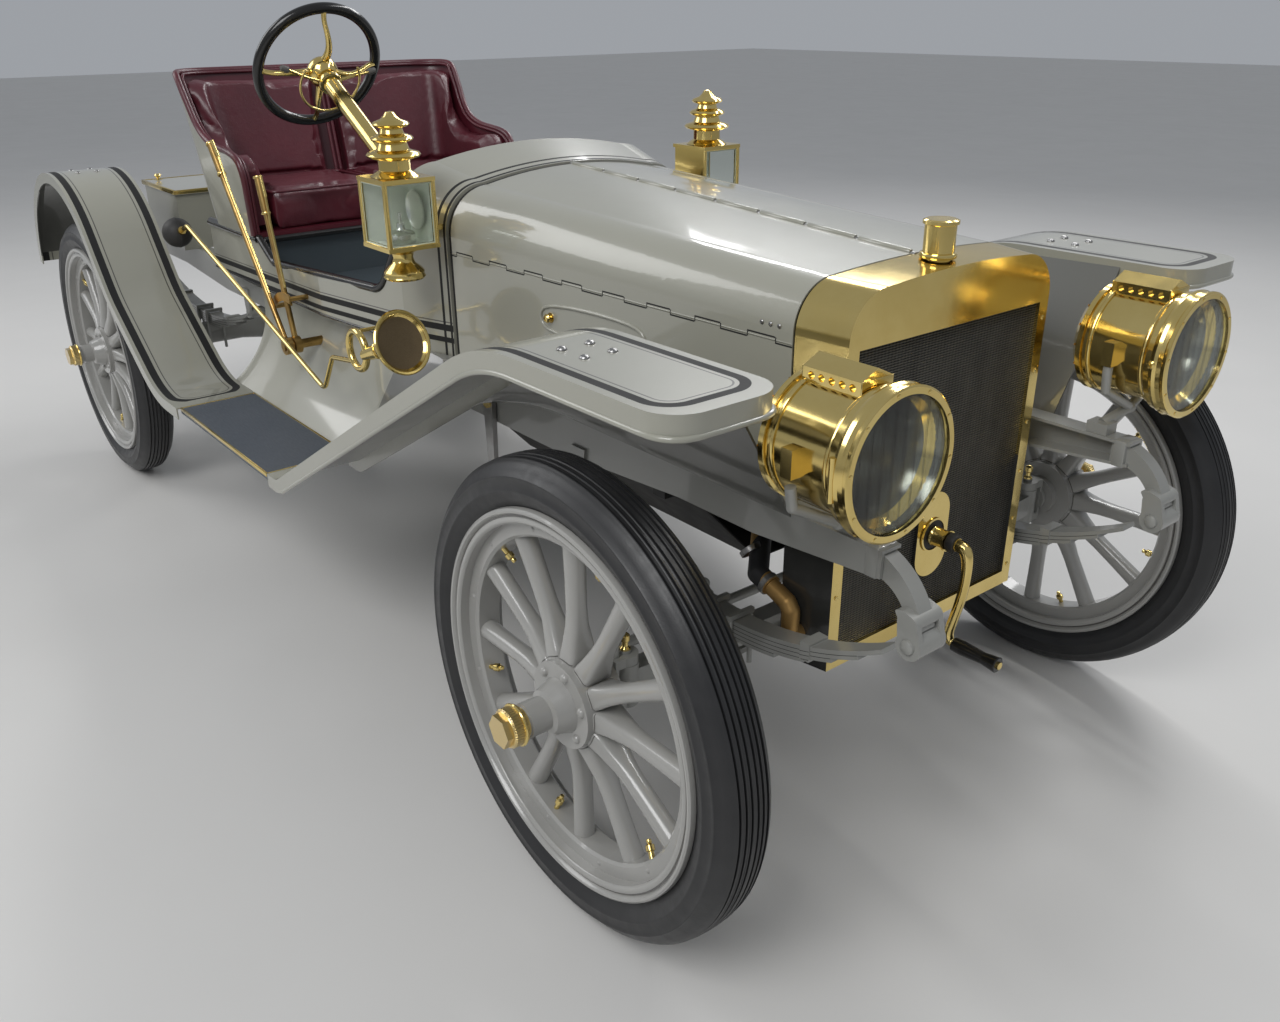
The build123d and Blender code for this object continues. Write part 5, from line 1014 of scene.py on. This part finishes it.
def swollen(pad):
    """The pad's mesh after a short cloth run with pressure inside."""
    cloth = pad.modifiers.new("swell", "CLOTH")
    cloth.settings.use_pressure = True
    cloth.settings.uniform_pressure_force = 4.0
    cloth.settings.effector_weights.gravity = 0
    cloth.settings.tension_stiffness = 12
    cloth.settings.quality = 4
    cloth.collision_settings.use_collision = False
    for step in range(1, 21):
        bpy.context.scene.frame_set(step)
    mesh = baked(pad)
    bpy.context.scene.frame_set(1)
    return mesh


def puffed(node, name, room, voxel=9.0, shrink=6.0, cap=22.0):
    """Pad swollen by cloth from a CAD node's form, which it leaves by room(place, normal) mm at most."""
    form = nodes[node].data
    halves = form.copy()
    for vertex in halves.vertices:
        near = max(0.0, 1.0 - abs(vertex.co.y) / 0.06)
        vertex.co.y += math.copysign(0.008 * near, vertex.co.y)
    pad = linked(name, halves)
    remesh = pad.modifiers.new("even", "REMESH")
    remesh.mode = "VOXEL"
    remesh.voxel_size = voxel / 1000
    mesh = baked(pad)
    pad = linked(name, mesh)
    normals = [v.normal.copy() for v in mesh.vertices]
    for vertex, normal in zip(mesh.vertices, normals):
        vertex.co -= normal * shrink / 1000
    start = [v.co.copy() for v in mesh.vertices]
    mesh = swollen(pad)
    pad = linked(name, mesh)
    tree = BVHTree.FromPolygons([v.co for v in form.vertices], [p.vertices for p in form.polygons])
    for vertex, origin in zip(mesh.vertices, start):
        moved = vertex.co - origin
        if moved.length > cap / 1000:
            moved.length = cap / 1000
        place = origin + moved
        near, normal, _, _ = tree.find_nearest(place)
        limit = room(near, normal) / 1000
        if (place - near).dot(normal) > limit:
            place = near + normal * limit
        vertex.co = place
    finer = pad.modifiers.new("finer", "SUBSURF")
    finer.levels = finer.render_levels = 1
    made = add(name, baked(pad), "chassis", "leather", 180.0)
    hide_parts(node)


def cushion_room(place, normal):
    if normal.z > 0.5:
        return 12.0
    return 8.0 if normal.x > 0.5 else -0.5


def back_room(place, normal):
    if place.z < 1.045:
        return -1.0
    inward = normal.x > 0.25 or normal.y * place.y < -0.2 * abs(place.y)
    return 9.0 if inward else -0.5


def build_seat():
    """Pads, the shell's rolled edge, and piping along the edge, at the division and round the cushions."""
    puffed("seat_cushions", "cushion_pads", cushion_room)
    puffed("seat_back", "back_pads", back_room)
    tube("seat_roll", [(x, y, z + 1) for x, y, z in seat_edge()], 10.0, look="leather")
    inner = [(x + (14 if x < -2380 else 0), y * 0.968, z - 4) for x, y, z in seat_edge()]
    tube("seat_piping", inner, 4.5, look="leather")
    for hand, side in RIGHT_LEFT:
        run = [(seat_rear(z) + 70, side * 8, z) for z in (CUSHION_TOP, 1100, 1180, 1260, 1310)]
        run += [(seat_rear(1340) + 56, side * 8, 1338), (-2438, side * 8, 1349), (-2462, side * 8, 1351)]
        tube("division_piping_" + hand, run, 5.0, look="leather")
    corners = [(-1990, 12), (-1990, 376), (-2320, 372), (-2320, 12)]
    for hand, side in RIGHT_LEFT:
        path = []
        for (x0, y0), (x1, y1) in zip(corners, corners[1:] + corners[:1]):
            for share in (0.04, 0.1, 0.5, 0.9, 0.96):
                path.append((x0 + (x1 - x0) * share, side * (y0 + (y1 - y0) * share), CUSHION_TOP))
        tube("cushion_piping_" + hand, path, 4.5, look="leather", closed=True)


# Steering, levers and horn

def wheel_point(reach, angle, height):
    """Point in the steering wheel's own frame; height is towards the driver."""
    turn = math.radians(angle)
    right, up = Vector((0, -1, 0)), Vector((math.sin(TILT), 0, math.cos(TILT)))
    flat = right * reach * math.cos(turn) + up * reach * math.sin(turn)
    return tuple(STEER_HUB + flat + Vector(COLUMN_AXIS) * height)


def build_steering():
    """Domed hub with four bowed spokes for the plain spider, the column's sleeve and the hand controls."""
    hub = [(0, -58), (28, -58), (36, -49), (40, -40), (42, -29), (40, -18), (35, -9), (26, -2), (16, 2),
           (7, 4), (0, 4)]
    centre = tuple(STEER_HUB)
    parts = [lathe("hub", hub, centre, COLUMN_AXIS, "steering_wheel", steps=40)]
    spoke = [
        # reach, height, offset aside, share of the bar's radius
        (24, -24, 0, 1.5), (48, -34, 5, 1.3), (78, -37, 7, 1.05), (108, -30, 2, 0.9), (136, -16, -5, 0.8),
        (158, -6, -5, 0.9), (166, -3, -2, 1.0),
    ]
    for quarter in range(4):
        run = [wheel_point(reach, 90 * quarter + math.degrees(aside / reach), height)
               for reach, height, aside, _ in spoke]
        parts.append(tube("spoke", run, 8.0, "steering_wheel", widths=[width for *_, width in spoke]))
    spider = joined("spider_shape", parts)
    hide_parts("steering_spider")
    sleeve = [(23.5, -59), (23.5, -700), (22.5, -700), (22.5, -59)]
    lathe("column_sleeve", sleeve, centre, COLUMN_AXIS, steps=64, closed=True)
    tube("quadrant_ring", [wheel_point(84, angle, -78) for angle in range(150, 391, 12)], 3.4)
    collar = [(24, -90), (30, -88), (32, -80), (30, -72), (24, -70)]
    lathe("control_collar", collar, centre, COLUMN_AXIS, steps=36)
    knob = [(0, 0), (7, 3), (9, 12), (7, 24), (0, 28)]
    for name, angle in (("spark", 168), ("throttle", 12)):
        run = [wheel_point(reach, angle + more, height)
               for reach, more, height in ((26, 0, -76), (60, 0, -74), (96, 3, -66), (118, 4, -62))]
        tube(name + "_lever", run, 4.0)
        root, end = (wheel_point(reach, angle + 4, height) for reach, height in ((114, -63), (130, -60)))
        lathe(name + "_knob", knob, root, Vector(end) - Vector(root), look="iron", steps=20)


def build_levers():
    """Grip collars, trigger rod and paddle of each hand lever."""
    pivot = Vector((-1675.0, 0, 660.0))
    ring = [(9, 0), (12.5, 1), (13.5, 4), (12.5, 7), (9, 8)]
    for name, tip, y in (("brake", (-2059.0, 1179.0), -512.0), ("gear", (-1790.0, 1112.0), -486.0)):
        end = Vector((tip[0], y, tip[1]))
        foot = Vector((pivot.x, y, pivot.z))
        up = (end - foot).normalized()
        side = Vector((up.z, 0, -up.x))
        start = end - up * 105
        for label, where in (("top", end - up * 8), ("low", start)):
            lathe(f"{name}_collar_{label}", ring, tuple(where), up, steps=24)
        trigger = [end - up * 50 + side * 24, end - up * 104 + side * 19, start - up * 20 + side * 14,
                   foot + up * 160 + side * 13]
        tube(name + "_trigger", [tuple(p) for p in trigger], 3.6, smooth=False)
        paddle = [end - up * 6 + side * 20, end - up * 60 + side * 24]
        tube(name + "_paddle", [tuple(p) for p in paddle], 5.0, smooth=False)


def build_horn():
    """Rolled lip, gauze and rings of the bell, and the bulb's seam."""
    direction = Vector((0.92, 0.18, 0.36)).normalized()
    start = Vector((-1092.0, -HORN_Y, 772.0))
    mouth = tuple(start + direction * 157)
    lip = [(69, -3), (73, -1), (76, 2), (76.5, 5), (74, 7.5), (70, 7), (67, 4)]
    lathe("horn_lip", lip, mouth, direction, steps=56, closed=True)
    lathe("horn_gauze", [(0, -6), (30, -5), (58, -3), (67.5, 0)], mouth, direction, look="gauze")
    for label, along, reach in (("a", 60, 19), ("b", 105, 31)):
        ring = [(reach - 2, 0), (reach + 2, 1.5), (reach + 3, 4), (reach + 2, 7), (reach - 1, 8)]
        lathe("horn_ring_" + label, ring, tuple(start + direction * along), direction, steps=40)
    seam = [(44, -4), (47, -3), (47.5, 0), (47, 3), (44, 4)]
    lathe("bulb_seam", seam, (-2405.0, -HORN_Y, 880.0), (0, 1, 0), look="dull", steps=40)


# Chassis

def build_chassis_trim():
    """Rail collars, front spring eyes with their bolts, king pin oilers and hose clips."""
    eye_x, eye_z = SPRING_EYE
    barrel = [(0, -31), (20, -31), (23.9, -27), (23.9, 27), (20, 31), (0, 31)]
    dome = [(0, 8), (7, 7), (12, 4), (13.5, 0), (13.5, -3)]
    cup = [(0, 40), (5, 39), (9, 35), (9, 25), (6, 22), (6, 14), (10, 10), (10, 0), (0, 0)]
    for hand, side in RIGHT_LEFT:
        collar = box_mesh((26, 50, 54), 4.0)
        collar.transform(Matrix.Translation(at(346, side * RAIL_Y, 731)))
        add("rail_collar_" + hand, collar, "chassis", "frame_paint")
        lathe("spring_eye_" + hand, barrel, (eye_x, side * RAIL_Y, eye_z), (0, 1, 0), look="frame_paint",
              steps=40)
        for label, out in (("outer", 1), ("inner", -1)):
            root = (eye_x, side * (RAIL_Y + out * 32.5), eye_z)
            lathe(f"eye_bolt_{label}_{hand}", dome, root, (0, side * out, 0), look="frame_paint", steps=24)
        lathe("oiler_" + hand, cup, (0, side * 610, 489), (0, 0, 1), "knuckle_" + hand, steps=20)
    clip = [(20, 0), (22.5, 1), (22.5, 11), (20, 12)]
    for label, place, tilt in (("engine", (-20, -292, 588), (0.6, 0, -0.55)),
                               ("elbow", (52, -316, 552), (0.9, 0, -0.3))):
        lathe("hose_clip_" + label, clip, place, tilt, look="steel", steps=32)


build_wheels()
build_headlamps()
build_side_lamps()
build_hood()
build_radiator()
build_crank()
build_body_trim()
build_boards()
build_fenders()
build_box_trim()
build_seat()
build_steering()
build_levers()
build_horn()
build_chassis_trim()


# Camera, floor and light

LIGHTS = [
    # name, place, point it is aimed at, size, power
    ("key", (2.5, -4.5, 5.0), (0.2, 0, 0.6), (3.2, 3.2), 200),
    ("fill", (-4.5, -3.5, 4.2), (-0.6, 0, 0.6), (3.5, 3.5), 110),
    ("rear", (-2.0, 5.0, 4.5), (0, 0, 0.7), (5.0, 1.0), 120),
    ("tube", (0.6, 2.6, 4.2), (0.2, 0, 0.9), (5.0, 0.25), 70),
]


def turned_to(made, direction, roll=0.0):
    """Turns a camera or lamp to look along a direction."""
    made.rotation_mode = "QUATERNION"
    turn = Vector(direction).to_track_quat("-Z", "Y")
    made.rotation_quaternion = turn @ Matrix.Rotation(roll, 4, "Z").to_quaternion()


def build_stage():
    """The photograph's camera, the floor, the sky's light and the lamps."""
    camera = linked("camera", bpy.data.cameras.new("camera"))
    azimuth, elevation, roll = (math.radians(a) for a in (51.57, 24.48, -0.49))
    back = Vector((math.sin(azimuth) * math.cos(elevation), -math.cos(azimuth) * math.cos(elevation),
                   math.sin(elevation)))
    camera.location = at(1341.0, -1637.6, 1532.0)
    turned_to(camera, -back, roll)
    camera.data.sensor_width = 36.0
    camera.data.lens = 36.0 * 1112.0 / 1280.0
    camera.data.clip_start, camera.data.clip_end = 0.05, 200.0
    bpy.context.scene.camera = camera

    mesh = bpy.data.meshes.new("floor")
    mesh.from_pydata([(-30, -30, 0), (30, -30, 0), (30, 30, 0), (-30, 30, 0)], [], [(0, 1, 2, 3)])
    mesh.materials.append(material("pale_floor", plain(
        (0.60, 0.59, 0.57), (0.66, 0.65, 0.63), (1.2, 5.0), (4.0, 5.0, 0.2, 0.35), (30.0, 4.0, 0.001, 0.1))))
    linked("floor", mesh)

    world = bpy.data.worlds.new("studio")
    bpy.context.scene.world = world
    world.use_nodes = True
    Field.tree = world.node_tree
    fill(world.node_tree.nodes["Background"], {"Color": (0.80, 0.84, 0.90, 1), "Strength": 0.42})
    for name, where, aim, size, power in LIGHTS:
        lamp = linked(name, bpy.data.lights.new(name, "AREA"))
        lamp.location = where
        turned_to(lamp, Vector(aim) - Vector(where))
        lamp.data.shape = "RECTANGLE"
        lamp.data.size, lamp.data.size_y = size
        lamp.data.energy = power


build_stage()

bpy.context.scene.view_settings.view_transform = "Standard"
